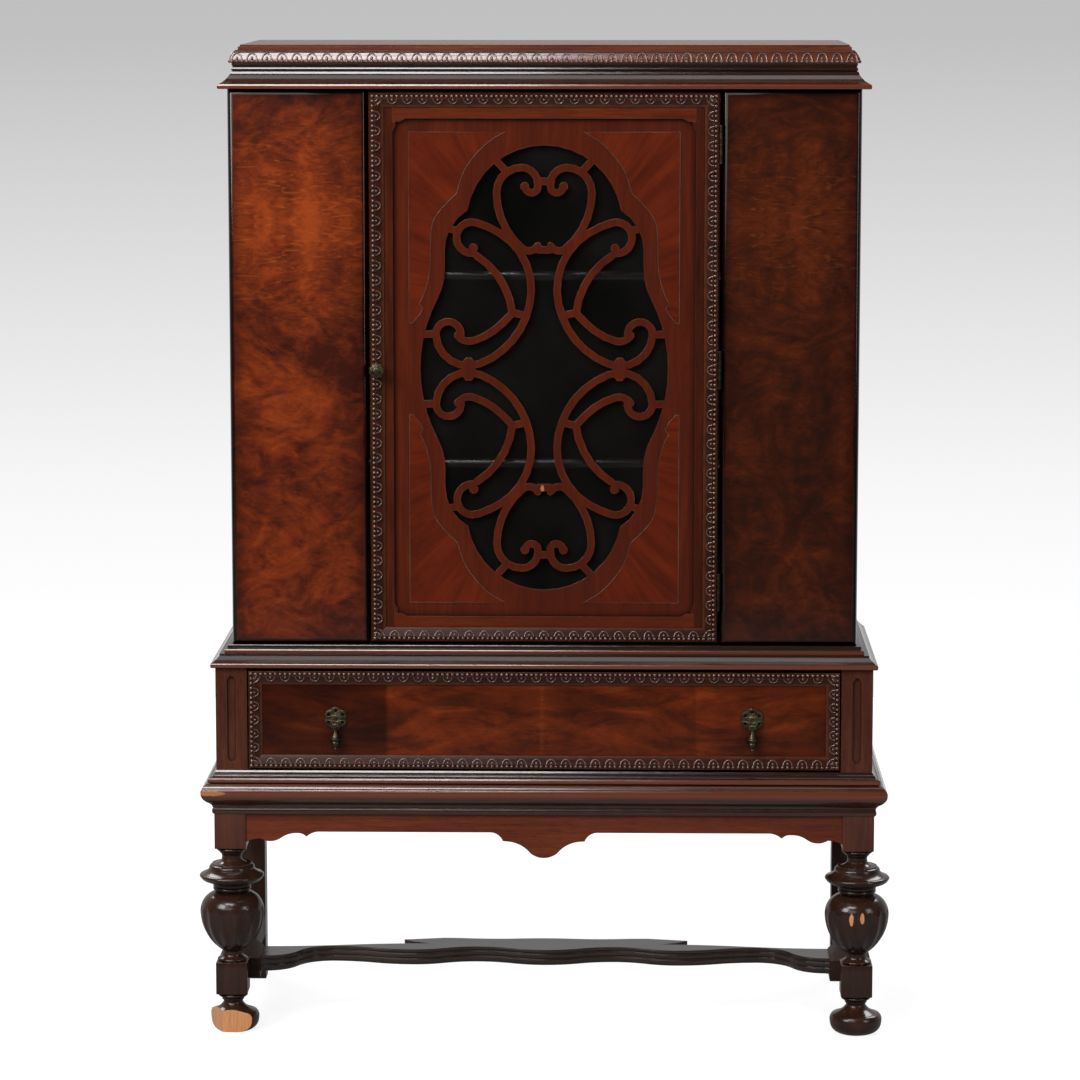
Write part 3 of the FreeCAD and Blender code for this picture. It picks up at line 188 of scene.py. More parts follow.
BACK_BOARD = (0.1, 0.05, 0.026), (0.16, 0.085, 0.045), (0.22, 0.125, 0.07)
LINING = (0.13, 0.07, 0.034), (0.2, 0.115, 0.058), (0.27, 0.165, 0.09)
RAW_WOOD = (0.56, 0.23, 0.085), (0.68, 0.3, 0.12), (0.78, 0.38, 0.165)
BRASS = (0.04, 0.034, 0.022), (0.08, 0.067, 0.04), (0.15, 0.123, 0.07)
# The right panel's tones are darker than the left: partly its own veneer, partly painted shade where less
# light falls.
BURL = {
    "left": [(0.046, 0.0075, 0.0034), (0.1, 0.0152, 0.005), (0.172, 0.0255, 0.006), (0.275, 0.045, 0.0085)],
    "right": [
        (0.022, 0.0056, 0.0027), (0.04, 0.0078, 0.0027), (0.065, 0.0115, 0.0031), (0.108, 0.019, 0.0046),
    ],
}
WORN, WORN_TURNING = (0.11, 0.033, 0.013), (0.12, 0.045, 0.022)
# The first colour here, for the fret's rubbed arrises, is lighter than other wear: partly wear, partly a
# painted highlight.
FRET_WEAR_AND_HIGHLIGHT, WORN_CARVING = (0.2, 0.075, 0.04), (0.08, 0.03, 0.016)
RED_LIP, CHIPPED = (0.14, 0.03, 0.0095), (0.42, 0.165, 0.06)
BURL_FOLD, BURL_SHIFT, BURL_STREAK = 1.3205, {"left": 1, "right": 2}, (1.4, 1.8, 1.4)
FEATHER_ASIDE, FAN_CENTRE = 0.003, 0.12
BACK_FACE = 0.2088
EASE, FINE_EASE = 0.0012, 0.0006


# Finishes

class Finish(Web):
    """A new finish whose clear coat and gloss are the same all over."""

    def __init__(self, name, coat=0.0, gloss=0.2):
        self.material = bpy.data.materials.new(name)
        self.material.use_nodes = True
        super().__init__(self.material.node_tree)
        self.shader = self.tree.nodes["Principled BSDF"]
        self.dress({"Coat Weight": coat, "Coat Roughness": 0.08, "Specular IOR Level": gloss})

    def dress(self, inputs):
        """Fills the shader and gives back the material."""
        self.fill(self.shader, inputs)
        return self.material


def along(axis, ratio):
    """Stretches a pattern along one axis of the piece."""
    return tuple(1.0 if letter == axis else ratio for letter in "XYZ")


def grain(web, axis, spot=None):
    """Broad bands, fine streaks and pores that run along one axis."""
    broad = web.noise(3.5, 6, 0.6, 0.7, web.lay(along(axis, 8), spot=spot))
    streak = web.noise(9, 5, 0.6, 0.3, web.lay(along(axis, 22), spot=spot))
    pores = web.noise(50, 3, 0.7, spot=web.lay(along(axis, 26), spot=spot))
    return web.weighed((streak, 0.38), (broad, 0.62)), pores


def ragged(web, patch, size, weight, border):
    """Tears the border of a patch."""
    torn = web.plus(patch, web.times(web.noise(size, 3), weight))
    return web.ramp(torn, (border, 0), (border + 0.1, 1))


def bare_mark(web, colour, spot, reach):
    """Bare wood where the finish has chipped away round one spot, in millimetres."""
    scale = tuple(1 / (r * MM) for r in reach)
    at = tuple(-s * MM * k for s, k in zip(spot, scale))
    ball = web.out("ShaderNodeTexGradient", {0: web.lay(scale, at)}, 1, gradient_type="SPHERICAL")
    return web.tint(ragged(web, ball, 260, 0.5, 0.48), colour, CHIPPED)


def surface(web, colour, pores, shine, depth=0.25, ease=EASE):
    """Links colour, uneven shine, the open grain and softly eased arrises to the shader."""
    rub = web.noise(70, 3, 0.6, spot=web.lay(at=(3, 1, 2)))
    uneven = web.weighed((rub, 0.25), (web.noise(11, 4, 0.6), 0.75))
    low, high = shine
    rough = web.scaled(uneven, (high - low) * 1.6, low - (high - low) * 0.3)
    eased = web.out("ShaderNodeBevel", {"Radius": ease}, samples=4)
    relief = web.bump(pores, depth, Normal=eased)
    return web.dress({"Base Color": colour, "Roughness": rough, "Normal": relief, "Coat Normal": eased})


def worn_edges_and_hollow_shade(web, colour, worn, hollow_shade=0.35):
    """Rubs the arrises lighter, and paints shade in the quirks and hollows."""
    inner = web.openness(0.0035, inside=True, only_local=True)
    edge = web.times(web.less(1.0, inner), web.noise(38, 5, 0.65))
    colour = web.tint(web.ramp(edge, (0.16, 0), (0.4, 0.55)), colour, worn)
    # Painted shade: darker where other surfaces close in within 6 mm, as in quirks and hollows.
    outer = web.openness(0.006, only_local=True)
    return web.shade(colour, web.ramp(outer, (0.35, hollow_shade), (0.9, 1.0)))


def painted_margin_shade(web, colour, reach, least):
    """Paints shade on a flat face, darker towards whatever stands proud beside it."""
    near = web.less(web.openness(reach, 8), 0.12)
    uneven = web.scaled(web.noise(16, 4, 0.6), 0.24, near)
    return web.shade(colour, web.ramp(uneven, (0.45, least), (0.97, 1.0)))


def wood(name, tones, axis, shine=(0.14, 0.27), coat=0.12, gloss=0.2, worn=WORN, marks=(), spread=1.0,
         margin=0.0, ease=EASE, open_grain=0.65):
    """Stained and polished wood with its grain along one axis, or along the run of a moulding."""
    web = Finish(name, coat, gloss)
    run = web.stored("run", "Vector") if axis == "run" else None
    figure, pores = grain(web, "X" if run else axis, run)
    colour = web.stain(figure, tones, 0.5 - 0.2 * spread, 0.5 + 0.18 * spread)
    colour = web.shade(colour, web.ramp(pores, (0.36, 0.3), (0.48, 1.0)), open_grain)
    if run:
        # Painted shade in the deeper parts of a moulding's section; the most proud parts are tinted redder.
        proud = web.stored("proud")
        colour = web.shade(colour, web.ramp(proud, (0.1, 0.4), (0.6, 0.75), (0.9, 1.0)))
        colour = web.tint(web.ramp(proud, (0.86, 0.0), (0.97, 0.8)), colour, RED_LIP)
    if worn:
        colour = worn_edges_and_hollow_shade(web, colour, worn)
    # Painted shade on the face towards what stands proud beside it.
    if margin:
        colour = painted_margin_shade(web, colour, margin, 0.25)
    for spot, reach in marks:
        colour = bare_mark(web, colour, spot, reach)
    return surface(web, colour, pores, shine, ease=ease)


def turned_wood(name):
    """Near-black polished turning below a stained block, raw where the piece says it is bare."""
    web = Finish(name, 0.2, 0.3)
    figure, pores = grain(web, "Z")
    block_above = web.ramp(web.axes()[2], (0.3, 0), (0.308, 1))
    colour = web.tint(block_above, web.stain(figure, TURNED), web.stain(figure, STILE))
    colour = worn_edges_and_hollow_shade(web, colour, WORN_TURNING, 0.3)
    fibre = web.noise(22, 5, 0.65, 0.4, web.lay((16, 16, 1)))
    bare = ragged(web, web.stored("bare"), 240, 0.4, 0.62)
    colour = web.tint(bare, colour, web.stain(fibre, RAW_WOOD))
    return surface(web, colour, pores, (0.13, 0.26))


def panel_box(side):
    """Lowest and highest corner of a front panel, from the moulding that it stands on."""
    low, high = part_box(f"front_panel_{side}")
    return Vector((low.x, low.y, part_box("upper_base_moulding")[1].z)), high


def folded_burl(name, side):
    """Burl veneer, matched about a level line, brightest there, with painted shade round its edges."""
    web = Finish(name, 0.12, 0.28)
    low, high = panel_box(side)
    centre, half = (low + high) / 2, (high - low) / 2
    shift = BURL_SHIFT[side]
    x, y, z = web.axes()
    fold = web.size(web.less(z, BURL_FOLD))
    leaf = web.joined(x, y, fold)
    cloud = web.veneer(leaf, (4.5, 1, 5.5), 5, 0.58, 1.8, (shift * 7, 0, 0))
    swirl = web.veneer(leaf, (12, 1, 15), 5, 0.56, 3.0, (shift * 3, 0, 0.2))
    fleck = web.veneer(leaf, (40, 1, 100), 4, 0.6, 1.6, (shift, 0, 0))
    fine = web.veneer(leaf, (90, 60, 330), 3, 0.7, 0.8)
    near_fold = web.ramp(web.times(fold, 4.0), (0.0, 1.0), (0.28, 0.75), (0.75, 0.0))
    share = web.weighed((swirl, 0.34), (cloud, 0.44), (fleck, 0.16), (fine, 0.06), (near_fold, 0.065))
    dark, middle, light, glow = BURL[side]
    colour = web.ramp(share, (0.41, dark), (0.485, middle), (0.555, light), (0.64, glow))
    streak = web.veneer(leaf, (13, 1, 72), 3, 0.55, 3.2, (2, 0, shift), 16)
    lit = web.times(web.ramp(streak, (0.57, 0.0), (0.7, 0.65)), near_fold)
    colour = web.tint(lit, colour, [channel * k for channel, k in zip(glow, BURL_STREAK)])
    # Painted shade on the rounded edges and the sides of the panel.
    near_x = web.less(half.x, web.size(web.less(x, centre.x)))
    near_z = web.less(half.z, web.size(web.less(z, centre.z)))
    edge = web.times(web.reckon("MINIMUM", near_x, near_z), 10)
    shadow = web.scaled(web.noise(12, 3), 0.06, edge)
    colour = web.shade(colour, web.ramp(shadow, (0.095, 0.1), (0.125, 0.5), (0.3, 0.85), (0.7, 1.0)))
    return surface(web, colour, fine, (0.1, 0.2), 0.06)


def feather_veneer(name):
    """Crotch veneer in four leaves, its feather on the middle seam."""
    web = Finish(name, 0.08, 0.14)
    x, y, z = web.axes()
    middle = web.plus(x, FEATHER_ASIDE)
    away = web.size(middle)
    leaf = web.joined(away, y, z)
    flame = web.veneer(leaf, (5, 1, 24), 6, 0.62, 1.2, slant=38)
    patch = web.veneer(None, (5, 1, 9), 5, 0.6, 1.3, (0.6, 0, 0.4))
    fine = web.veneer(leaf, (60, 60, 260), 3, 0.7, 0.6, slant=38)
    share = web.weighed((patch, 0.4), (flame, 0.55), (fine, 0.1))
    colour = web.ramp(share, (0.38, (0.024, 0.006, 0.003)), (0.48, (0.075, 0.0122, 0.0036)),
                      (0.57, (0.15, 0.0225, 0.005)), (0.68, (0.26, 0.045, 0.0095)))
    leaves = web.ramp(web.scaled(middle, 1.0, 0.5), (0.0, 0.3), (0.249, 0.42), (0.251, 1.0), (0.36, 0.86),
                      (0.46, 0.8), (0.5, 1.0), (0.54, 0.8), (0.64, 0.85), (0.747, 0.75), (0.749, 1.0),
                      (0.8, 0.75), (1.0, 0.45))
    colour = web.shade(colour, leaves)
    barbs = web.veneer(leaf, (26, 1, 90), 5, 0.65, 0.8, slant=50)
    feather = web.scaled(barbs, 1.6, web.scaled(away, -34, -0.28))
    colour = web.tint(web.ramp(feather, (0.3, 0.0), (0.66, 0.5)), colour, (0.2, 0.042, 0.01))
    # Painted shade on the veneer towards what stands proud round it.
    colour = painted_margin_shade(web, colour, 0.028, 0.22)
    return surface(web, colour, fine, (0.12, 0.24), 0.06)


def fan_veneer(name):
    """Figured corner veneers whose rays run out from the middle of the door."""
    web = Finish(name, 0.12)
    x, y, z = web.axes()
    up = web.less(web.size(web.less(z, DOOR_MIDDLE)), FAN_CENTRE)
    turned = web.reckon("ARCTAN2", up, web.size(x))
    reach = web.reckon("SQRT", web.plus(web.times(x, x), web.times(up, up)))
    ray = web.joined(turned, reach, web.times(web.reckon("SIGN", x), 2.0))
    beam = web.veneer(ray, (13, 5, 1), 6, 0.62, 0.8)
    fine = web.veneer(ray, (150, 9, 1), 3, 0.7, 0.0)
    patch = web.noise(12, 4, 0.6, 0.8, web.lay(at=(4, 0, 1)))
    share = web.weighed((patch, 0.3), (beam, 0.6), (fine, 0.14))
    colour = web.ramp(share, (0.34, (0.05, 0.0072, 0.0028)), (0.5, (0.095, 0.0118, 0.0036)),
                      (0.64, (0.132, 0.0172, 0.0044)), (0.8, (0.18, 0.028, 0.0065)))
    return surface(web, colour, fine, (0.13, 0.26), 0.06)


def carved_wood(name):
    """Dark stain in the ground of the carving, with rubbed brown and a painted highlight on its high places.
    """
    web = Finish(name, 0.5, 0.8)
    figure, pores = grain(web, "X")
    colour = worn_edges_and_hollow_shade(web, web.stain(figure, CARVED), WORN_CARVING, 0.3)
    # Painted highlight, partly rubbed wear: the high places of beads and lunettes are lightened.
    top = web.times(web.stored("rise"), web.scaled(web.noise(30, 4, 0.6), 1.1, 0.25))
    colour = web.tint(web.ramp(top, (0.35, 0), (0.95, 0.6)), colour, (0.2, 0.1, 0.064))
    return surface(web, colour, pores, (0.1, 0.2), ease=0.0005)


def plain_inside(name, tones):
    """Unpolished inner wood, with the stain of the back board on the back of the case."""
    web = Finish(name)
    figure, pores = grain(web, "X")
    behind = web.ramp(web.scaled(web.less(web.axes()[1], BACK_FACE), 400, 0.5), (0.3, 0), (0.7, 1))
    colour = web.tint(behind, *(web.stain(figure, stain, 0.32, 0.68) for stain in (tones, BACK_BOARD)))
    colour = web.shade(colour, web.ramp(pores, (0.36, 0.4), (0.5, 1.0)), 0.5)
    return surface(web, colour, pores, (0.38, 0.62))


def old_brass(name, clean):
    """Brass gone brown, with green-black tarnish in its hollows and rubbed high places."""
    web = Finish(name)
    cloud = web.noise(120, 5, 0.65)
    speck = web.noise(900, 3, 0.6)
    colour = web.shade(web.stain(cloud, BRASS), clean)
    inner = web.openness(0.0016, inside=True, only_local=True)
    rub = web.ramp(web.less(1.0, inner), (0.15, 0), (0.55, 0.7 * clean))
    colour = web.tint(rub, colour, (0.34, 0.28, 0.165))
    outer = web.openness(0.003, only_local=True)
    colour = web.shade(colour, web.ramp(outer, (0.3, 0.18), (0.85, 1.0)))
    rough = web.scaled(cloud, 0.4, web.scaled(speck, 0.16, 0.1))
    relief = web.bump(speck, 0.3)
    return web.dress({"Metallic": 1.0, "Base Color": colour, "Roughness": rough, "Normal": relief})


def old_glass(name):
    """Thin pane whose near-black, part-opaque tone paints shade over the inside, with a film of dust and a
    faint wave.
    """
    web = Finish(name)
    dust = web.noise(9, 2, 0.5)
    return web.dress({
        "IOR": 1.5,
        # The near-black tone with part alpha is painted shade on what lies behind the pane.
        "Base Color": web.ramp(dust, (0.3, (0.004, 0.004, 0.0035)), (0.7, (0.012, 0.011, 0.009))),
        "Roughness": web.scaled(dust, 0.05, 0.01),
        "Alpha": web.scaled(dust, 0.12, 0.3),
        "Normal": web.bump(web.noise(5, 2), 0.04, 0.002),
    })


# Mesh helpers

def added(name, data):
    """A new object at the origin of the scene."""
    thing = bpy.data.objects.new(name, data)
    bpy.context.scene.collection.objects.link(thing)
    return thing


def show(name, bm, finish, smooth=None):
    """Makes an object at the origin from a finished bmesh."""
    mesh = bpy.data.meshes.new(name)
    bm.to_mesh(mesh)
    bm.free()
    mesh.materials.append(finish)
    if smooth:
        mesh.shade_smooth()
        mesh.set_sharp_from_angle(angle=math.radians(smooth))
    return added(name, mesh)


def settled(thing):
    """The plain mesh that an object's nodes or curve settings give; the object itself goes."""
    bpy.context.view_layer.update()
    view = bpy.context.evaluated_depsgraph_get()
    ready = thing.evaluated_get(view)
    mesh = bpy.data.meshes.new_from_object(ready, preserve_all_data_layers=True, depsgraph=view)
    thing.modifiers.clear()
    bpy.data.objects.remove(thing)
    return mesh


def close_up(bm):
    """Merges doubles and turns the faces outwards."""
    bmesh.ops.remove_doubles(bm, verts=bm.verts, dist=SAME)
    bmesh.ops.recalc_face_normals(bm, faces=bm.faces)


def skin(bm, rings):
    """Lays faces between each ring of points and the next."""
    for one, other in zip(rings, rings[1:]):
        for index in range(len(one)):
            bm.faces.new((one[index - 1], one[index], other[index], other[index - 1]))


def cap(bm, rings):
    """Closes the first and the last ring."""
    bm.faces.new(rings[0])
    bm.faces.new(rings[-1])


def thicken(bm, plan, way):
    """Makes a solid of a flat outline, drawn out by a vector."""
    sheet = bm.faces.new([bm.verts.new(point) for point in plan])
    made = bmesh.ops.extrude_face_region(bm, geom=[sheet])["geom"]
    bmesh.ops.translate(bm, verts=[v for v in made if isinstance(v, bmesh.types.BMVert)], vec=way)


def circle(count):
    """Angles evenly round a circle."""
    return [2 * math.pi * index / count for index in range(count)]


def profile(steps):
    """Points of an outline, in millimetres: each step is a corner, or a corner and its swell."""
    line = [steps[0]]
    for step in steps[1:]:
        start, end = Vector(line[-1]), Vector(step[:2])
        if len(step) == 2:
            line.append(step)
            continue
        across = (end - start).orthogonal().normalized()
        if across.x < 0:
            across = -across
        span = (end - start).length
        parts = 4 + int(span / 5 + 24 * abs(step[2]) / span)
        for index in range(1, parts + 1):
            t = index / parts
            spot = start.lerp(end, t) + across * (4 * step[2] * t * (1 - t))
            line.append((spot.x, spot.y))
    return line


def lathe(spot, axis=None):
    """Where a turning stands: upright, or turned forward about X or sideways about Y."""
    stand = Matrix.Translation(spot)
    return stand @ Matrix.Rotation(math.radians(90), 4, axis) if axis else stand


def turn(bm, line, count, place, shape=None):
    """Turns an outline of radius and height; shape may alter a radius by its height and angle."""
    rings = []
    for radius, height in line:
        ring = []
        for angle in circle(count):
            r = shape(radius, height, angle) if shape else radius
            spot = place @ Vector((r * math.sin(angle), -r * math.cos(angle), height))
            ring.append(bm.verts.new(spot * MM))
        rings.append(ring)
    skin(bm, rings)


def block(bm, low, high, ease):
    """A squared block with eased arrises, in millimetres."""
    middle, span = (low + high) / 2 * MM, (high - low) * MM
    made = bmesh.ops.create_cube(bm, size=1, matrix=Matrix.LocRotScale(middle, None, span))
    edges = list({edge for vert in made["verts"] for edge in vert.link_edges})
    bmesh.ops.bevel(bm, geom=edges, offset=ease * MM, segments=2, profile=0.6, affect="EDGES")


# Turned front legs

LEG_OUT, LEG_DEEP = 508.5, -161
BLOCK_HALF, BLOCK_EASE, BLOCK_LEVELS = 25.5, 1.4, ((63, 116), (305, 416))
FOOT = [
    (0, 0), (27, 0), (42.2, 20, 4.6), (38.7, 31.5, 1.6), (21, 40, -0.8), (18.5, 43), (16.5, 45),
    (18, 51, -1.4), (18, 53), (22, 56), (22, 61, 2.2), (22, 63), (0, 63),
]
URN = [
    (0, 116), (22.5, 116), (22.5, 121, 2.2), (19, 123), (16.5, 129, -1), (19.5, 135, -1), (52, 199, 8.8),
    (28, 231, 6.6), (26, 232), (28.5, 233), (28.5, 240, 2.4), (31, 241), (31, 244), (42, 249, -1),
    (50.5, 254.5, 1.4), (50.5, 260.5, 2), (37, 269, -1.4), (37, 271), (32, 276, 1.2), (32, 278),
    (16.5, 284, -2.4), (16.5, 286), (20, 296, -2), (20, 297), (22.5, 299), (22.5, 304, 2.2), (22.5, 305),
    (0, 305),
]
FLUTES, FLUTE_DEEP, FLUTE_WIDE = 14, 2.2, 0.4
FLUTE_LOW, FLUTE_HIGH, FLUTE_START, FLUTE_ROUND = 141, 207, 10, 14
SPLIT_LEVEL, CHIP_CORE, CHIP_FADE = 20, 1.1, 0.6


def fluted(radius, height, angle):
    """The urn's radius, let in by upright flutes with rounded upper ends."""
    if not FLUTE_LOW < height < FLUTE_HIGH:
        return radius
    away = abs((angle * FLUTES / (2 * math.pi) + 0.5) % 1 - 0.5)
    wide = FLUTE_WIDE
    if height > FLUTE_HIGH - FLUTE_ROUND:
        wide *= math.sqrt(1 - ((height - FLUTE_HIGH + FLUTE_ROUND) / FLUTE_ROUND) ** 2)
    start = min(1, (height - FLUTE_LOW) / FLUTE_START)
    return radius - FLUTE_DEEP * start * max(0, 1 - (away / wide) ** 2)


def front_leg(side, finish, splits=(), chips=()):
    """Foot, blocks and fluted urn of one front leg, with the split faces and chips that show raw wood."""
    axis = Vector((SIDES[side] * LEG_OUT, LEG_DEEP, 0))
    bm = bmesh.new()
    raw = bm.loops.layers.float.new("bare")
    turn(bm, profile(FOOT), 72, lathe(axis))
    close_up(bm)
    for away, heading in splits:
        facing = Vector((math.sin(math.radians(heading)), -math.cos(math.radians(heading)), 0))
        spot = (axis + facing * away + Vector((0, 0, SPLIT_LEVEL))) * MM
        geometry = [*bm.verts, *bm.edges, *bm.faces]
        cut = bmesh.ops.bisect_plane(bm, geom=geometry, plane_co=spot, plane_no=facing, clear_outer=True)
        rim = [edge for edge in cut["geom_cut"] if isinstance(edge, bmesh.types.BMEdge)]
        for face in bmesh.ops.contextual_create(bm, geom=rim)["faces"]:
            for loop in face.loops:
                loop[raw] = 1
    turn(bm, profile(URN), FLUTES * 10, lathe(axis), fluted)
    close_up(bm)
    for low, high in BLOCK_LEVELS:
        corners = [axis + Vector((k * BLOCK_HALF, k * BLOCK_HALF, z)) for k, z in ((-1, low), (1, high))]
        block(bm, *corners, BLOCK_EASE)
    for across, level, wide, tall in chips:
        for loop in (loop for face in bm.faces for loop in face.loops):
            spot = loop.vert.co / MM - axis
            if spot.y < 0:
                far = math.hypot((spot.x - across) / wide, (spot.z - level) / tall)
                loop[raw] = max(loop[raw], CHIP_CORE - CHIP_FADE * far)
    leg = show(f"turned_leg_{side}", bm, finish, 32)
    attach(leg, "carcass")
    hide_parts(f"front_leg_{side}")


# Mouldings, front panels and stretchers; a section's points are (out, height), and a swell where round

STAND, CASE, UPPER = (534, -186.5), (530, -182.5), (504, -160.5)
BAND_OUT, BAND_LOW, BAND_SHADE = -4.6, 1572.4, -60
TORUS = [
    (0, 364), (1.4, 364), (1.4, 374.5, 1.8), (2.6, 376), (2.6, 377.2), (9, 383.5, -0.6), (18.2, 393, 0.8),
    (20, 400.5, 0.5), (17.4, 408.2, 1.1), (16.3, 410), (7, 414.8, 1.6), (4, 416), (0, 416),
]
BASE = [
    (-9.75, 416), (12, 416), (13, 417.4), (13, 421.4), (11.5, 424), (10.4, 424.6), (4.6, 429.5, -1.6),
    (2.2, 431.4, -0.2), (2, 432.2), (0.2, 435), (-9.75, 435),
]
WAIST = [
    (-25, 603), (5, 603), (7.2, 604.4, 0.2), (7.5, 609.2), (6.8, 610.4), (5.8, 611), (-6.2, 621.6, -0.5),
    (-6.4, 624.7), (-8, 625), (-25, 625),
]
UPPER_BASE = [
    (0, 625), (11.4, 625), (11.8, 626), (11.8, 629.8), (10.9, 631.3), (10, 631.6), (7.4, 632), (6.8, 632.8),
    (6.8, 637.3), (6.3, 638.2), (5, 638.4), (0, 639),
]
CORNICE = [
    (-28, 1531), (12.4, 1531), (13.6, 1531.8), (14, 1533), (14, 1536), (13, 1538.6), (11.2, 1538.9),
    (-4, 1552.6, -1.2), (-5, 1553.2), (-5, 1554.6), (-6.2, 1557.8), (-8.4, 1558.8), (-8.8, 1559.6),
    (-7, 1560.6, 0.4), (-7, 1562.2), (-7.8, 1564.3), (-8.8, 1564.8), (-8.8, 1566.6), (-7.6, 1568.2),
    (-7.6, 1570), (-28, 1570),
]
BAND = [
    (-28, 1570), (-8, 1570), (-7.4, 1571.4), (-4.8, 1572.2), (-4.4, 1573.4), (-8.8, 1585, 0.3),
    (-10.6, 1588.8, 0.2), (-15, 1592, 0.9), (-28, 1592),
]
REEDS = [
    (0.9, 112), (0, 111.1), (0, 107.6), (1.5, 106.2), (1.5, 105), (0.3, 103.6), (0.3, 98.6), (2, 97.2),
    (2, 96), (0.8, 94.6), (0.8, 90), (2.4, 86.8), (3, 86),
]
REED_FACING = -0.3
PANEL_ROUND, STRETCHER_EASE = 10 * MM, 1.2 * MM
STRETCHER_LAP, STRETCHER_TAPER, TAPER_STEPS = -52 * MM, 4 * MM, 12


def moulding(name, node, case, section, finish, deepest=None):
    """A moulding mitred round the front and both sides of a case, given as its half width and its front."""
    half, front = case
    line = profile(section)
    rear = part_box(node)[1].y / MM
    deep = rear - front
    bm = bmesh.new()
    run = bm.verts.layers.float_vector.new("run")
    proud = bm.verts.layers.float.new("proud")
    widest = max(out for out, height in line)
    deepest = deepest or min(out for out, height in line[1:-1])
    rings = []
    for station, walked in enumerate((0, deep, deep + 2 * half, 2 * deep + 2 * half)):
        ring = []
        for out, height in line:
            side = half + out
            x, y = ((-side, rear), (-side, front - out), (side, front - out), (side, rear))[station]
            vert = bm.verts.new(Vector((x, y, height)) * MM)
            vert[run] = Vector((walked, out, height)) * MM
            vert[proud] = (out - deepest) / (widest - deepest)
            ring.append(vert)
        rings.append(ring)
    skin(bm, rings)
    cap(bm, rings)
    bmesh.ops.recalc_face_normals(bm, faces=bm.faces)
    length = show(name, bm, finish, 16)
    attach(length, "carcass")
    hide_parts(node)


def rounded_panel(side, finish):
    """Fixed front panel, rounded on its four front edges, standing on the moulding below it."""
    low, high = panel_box(side)
    bm = bmesh.new()
    bmesh.ops.create_cube(bm, size=1, matrix=Matrix.LocRotScale((low + high) / 2, None, high - low))
    edges = [edge for edge in bm.edges if all(vert.co.y < low.y + SAME for vert in edge.verts)]
    bmesh.ops.bevel(bm, geom=edges, offset=PANEL_ROUND, segments=8, profile=0.5, affect="EDGES")
    panel = show(f"burl_panel_{side}", bm, finish, 30)
    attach(panel, "carcass")
    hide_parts(f"front_panel_{side}")


def top_outline(node):
    """Points round the top of a solid, in millimetres and in order."""
    plan = bmesh.new()
    plan.from_mesh(NODES[node].data)
    bmesh.ops.remove_doubles(plan, verts=plan.verts, dist=SAME)
    top = max(vert.co.z for vert in plan.verts)
    faces = {face for face in plan.faces if all(vert.co.z > top - SAME for vert in face.verts)}
    links = {}
    for edge in plan.edges:
        if len(faces.intersection(edge.link_faces)) == 1:
            for one, other in (edge.verts, reversed(edge.verts)):
                links.setdefault(one, []).append(other)
    walk = [next(iter(links))]
    while len(walk) < len(links):
        walk.append(next(vert for vert in links[walk[-1]] if vert not in walk))
    line = [vert.co / MM for vert in walk]
    plan.free()
    return line


def moulded_stretcher(finish):
    """The serpentine stretcher with reeds worked along its front edge, on the plan of the solid."""
    line = top_outline("front_stretcher")
    following = line[1:] + line[:1]
    area = sum(a.x * b.y - b.x * a.y for a, b in zip(line, following))
    outs = []
    for before, after in zip(line[-1:] + line[:-1], following):
        way = (after - before).normalized()
        out = Vector((way.y, -way.x, 0)) * math.copysign(1, area)
        outs.append(out if out.y < REED_FACING else Vector())
    bm = bmesh.new()
    rings = []
    for inset, height in profile(REEDS):
        spots = [Vector((p.x, p.y, height)) - out * inset for p, out in zip(line, outs)]
        rings.append([bm.verts.new(spot * MM) for spot in spots])
    skin(bm, rings)
    cap(bm, rings)
    close_up(bm)
    bmesh.ops.triangulate(bm, faces=[face for face in bm.faces if len(face.verts) > 4])
    stretcher = show("reeded_stretcher", bm, finish, 16)
    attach(stretcher, "carcass")
    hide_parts("front_stretcher")


def side_stretcher(side, finish):
    """A side stretcher, full width where the front one meets it and as narrow as the rear leg behind."""
    low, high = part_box(f"side_stretcher_{side}")
    leg_low, leg_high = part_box(f"rear_leg_{side}")
    outer, inner, narrow = (low.x, high.x, leg_high.x) if side == "left" else (high.x, low.x, leg_low.x)
    plan = [(outer, low.y), (inner, low.y)]
    for step in range(TAPER_STEPS + 1):
        t = step / TAPER_STEPS
        across = (1 - math.cos(math.pi * t)) / 2
        deep = STRETCHER_LAP + (STRETCHER_TAPER - STRETCHER_LAP) * t
        plan.append((inner + (narrow - inner) * across, deep))
    plan += [(narrow, high.y), (outer, high.y)]
    bm = bmesh.new()
    thicken(bm, [(x, y, low.z) for x, y in plan], (0, 0, high.z - low.z))
    level = [edge for edge in bm.edges if abs(edge.verts[0].co.z - edge.verts[1].co.z) < SAME]
    bmesh.ops.bevel(bm, geom=level, offset=STRETCHER_EASE, segments=2, profile=0.6, affect="EDGES")
    close_up(bm)
    stretcher = show(f"tapered_stretcher_{side}", bm, finish, 30)
    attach(stretcher, "carcass")
    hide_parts(f"side_stretcher_{side}")


# Carved borders

CARVING = {
    "Lunette pitch": 0.0238, "Lunette half": 0.0072, "Lunette inset": 0.0076, "Lunette reach": 0.0088,
    "Bead pitch": 0.00793, "Bead inset": 0.0044, "Seat": 0.00275, "Slope": -math.radians(15.2),
}
CORNICE_CARVING = {
    **CARVING, "Lunette half": 0.0078, "Lunette inset": 0.0034, "Lunette reach": 0.0118,
    "Bead inset": 0.0018, "Seat": 0.0, "Slope": -math.radians(21),
}
ROPE_RADIUS, ROPE_LIFT, LEAF_HIGH, LUNETTE_HIGH = 0.00125, 0.0003, 0.0016, 0.0019
BEAD_DEEP, BEAD_HIGH, BEAD_RISE = 0.003, 0.0029, 0.0021


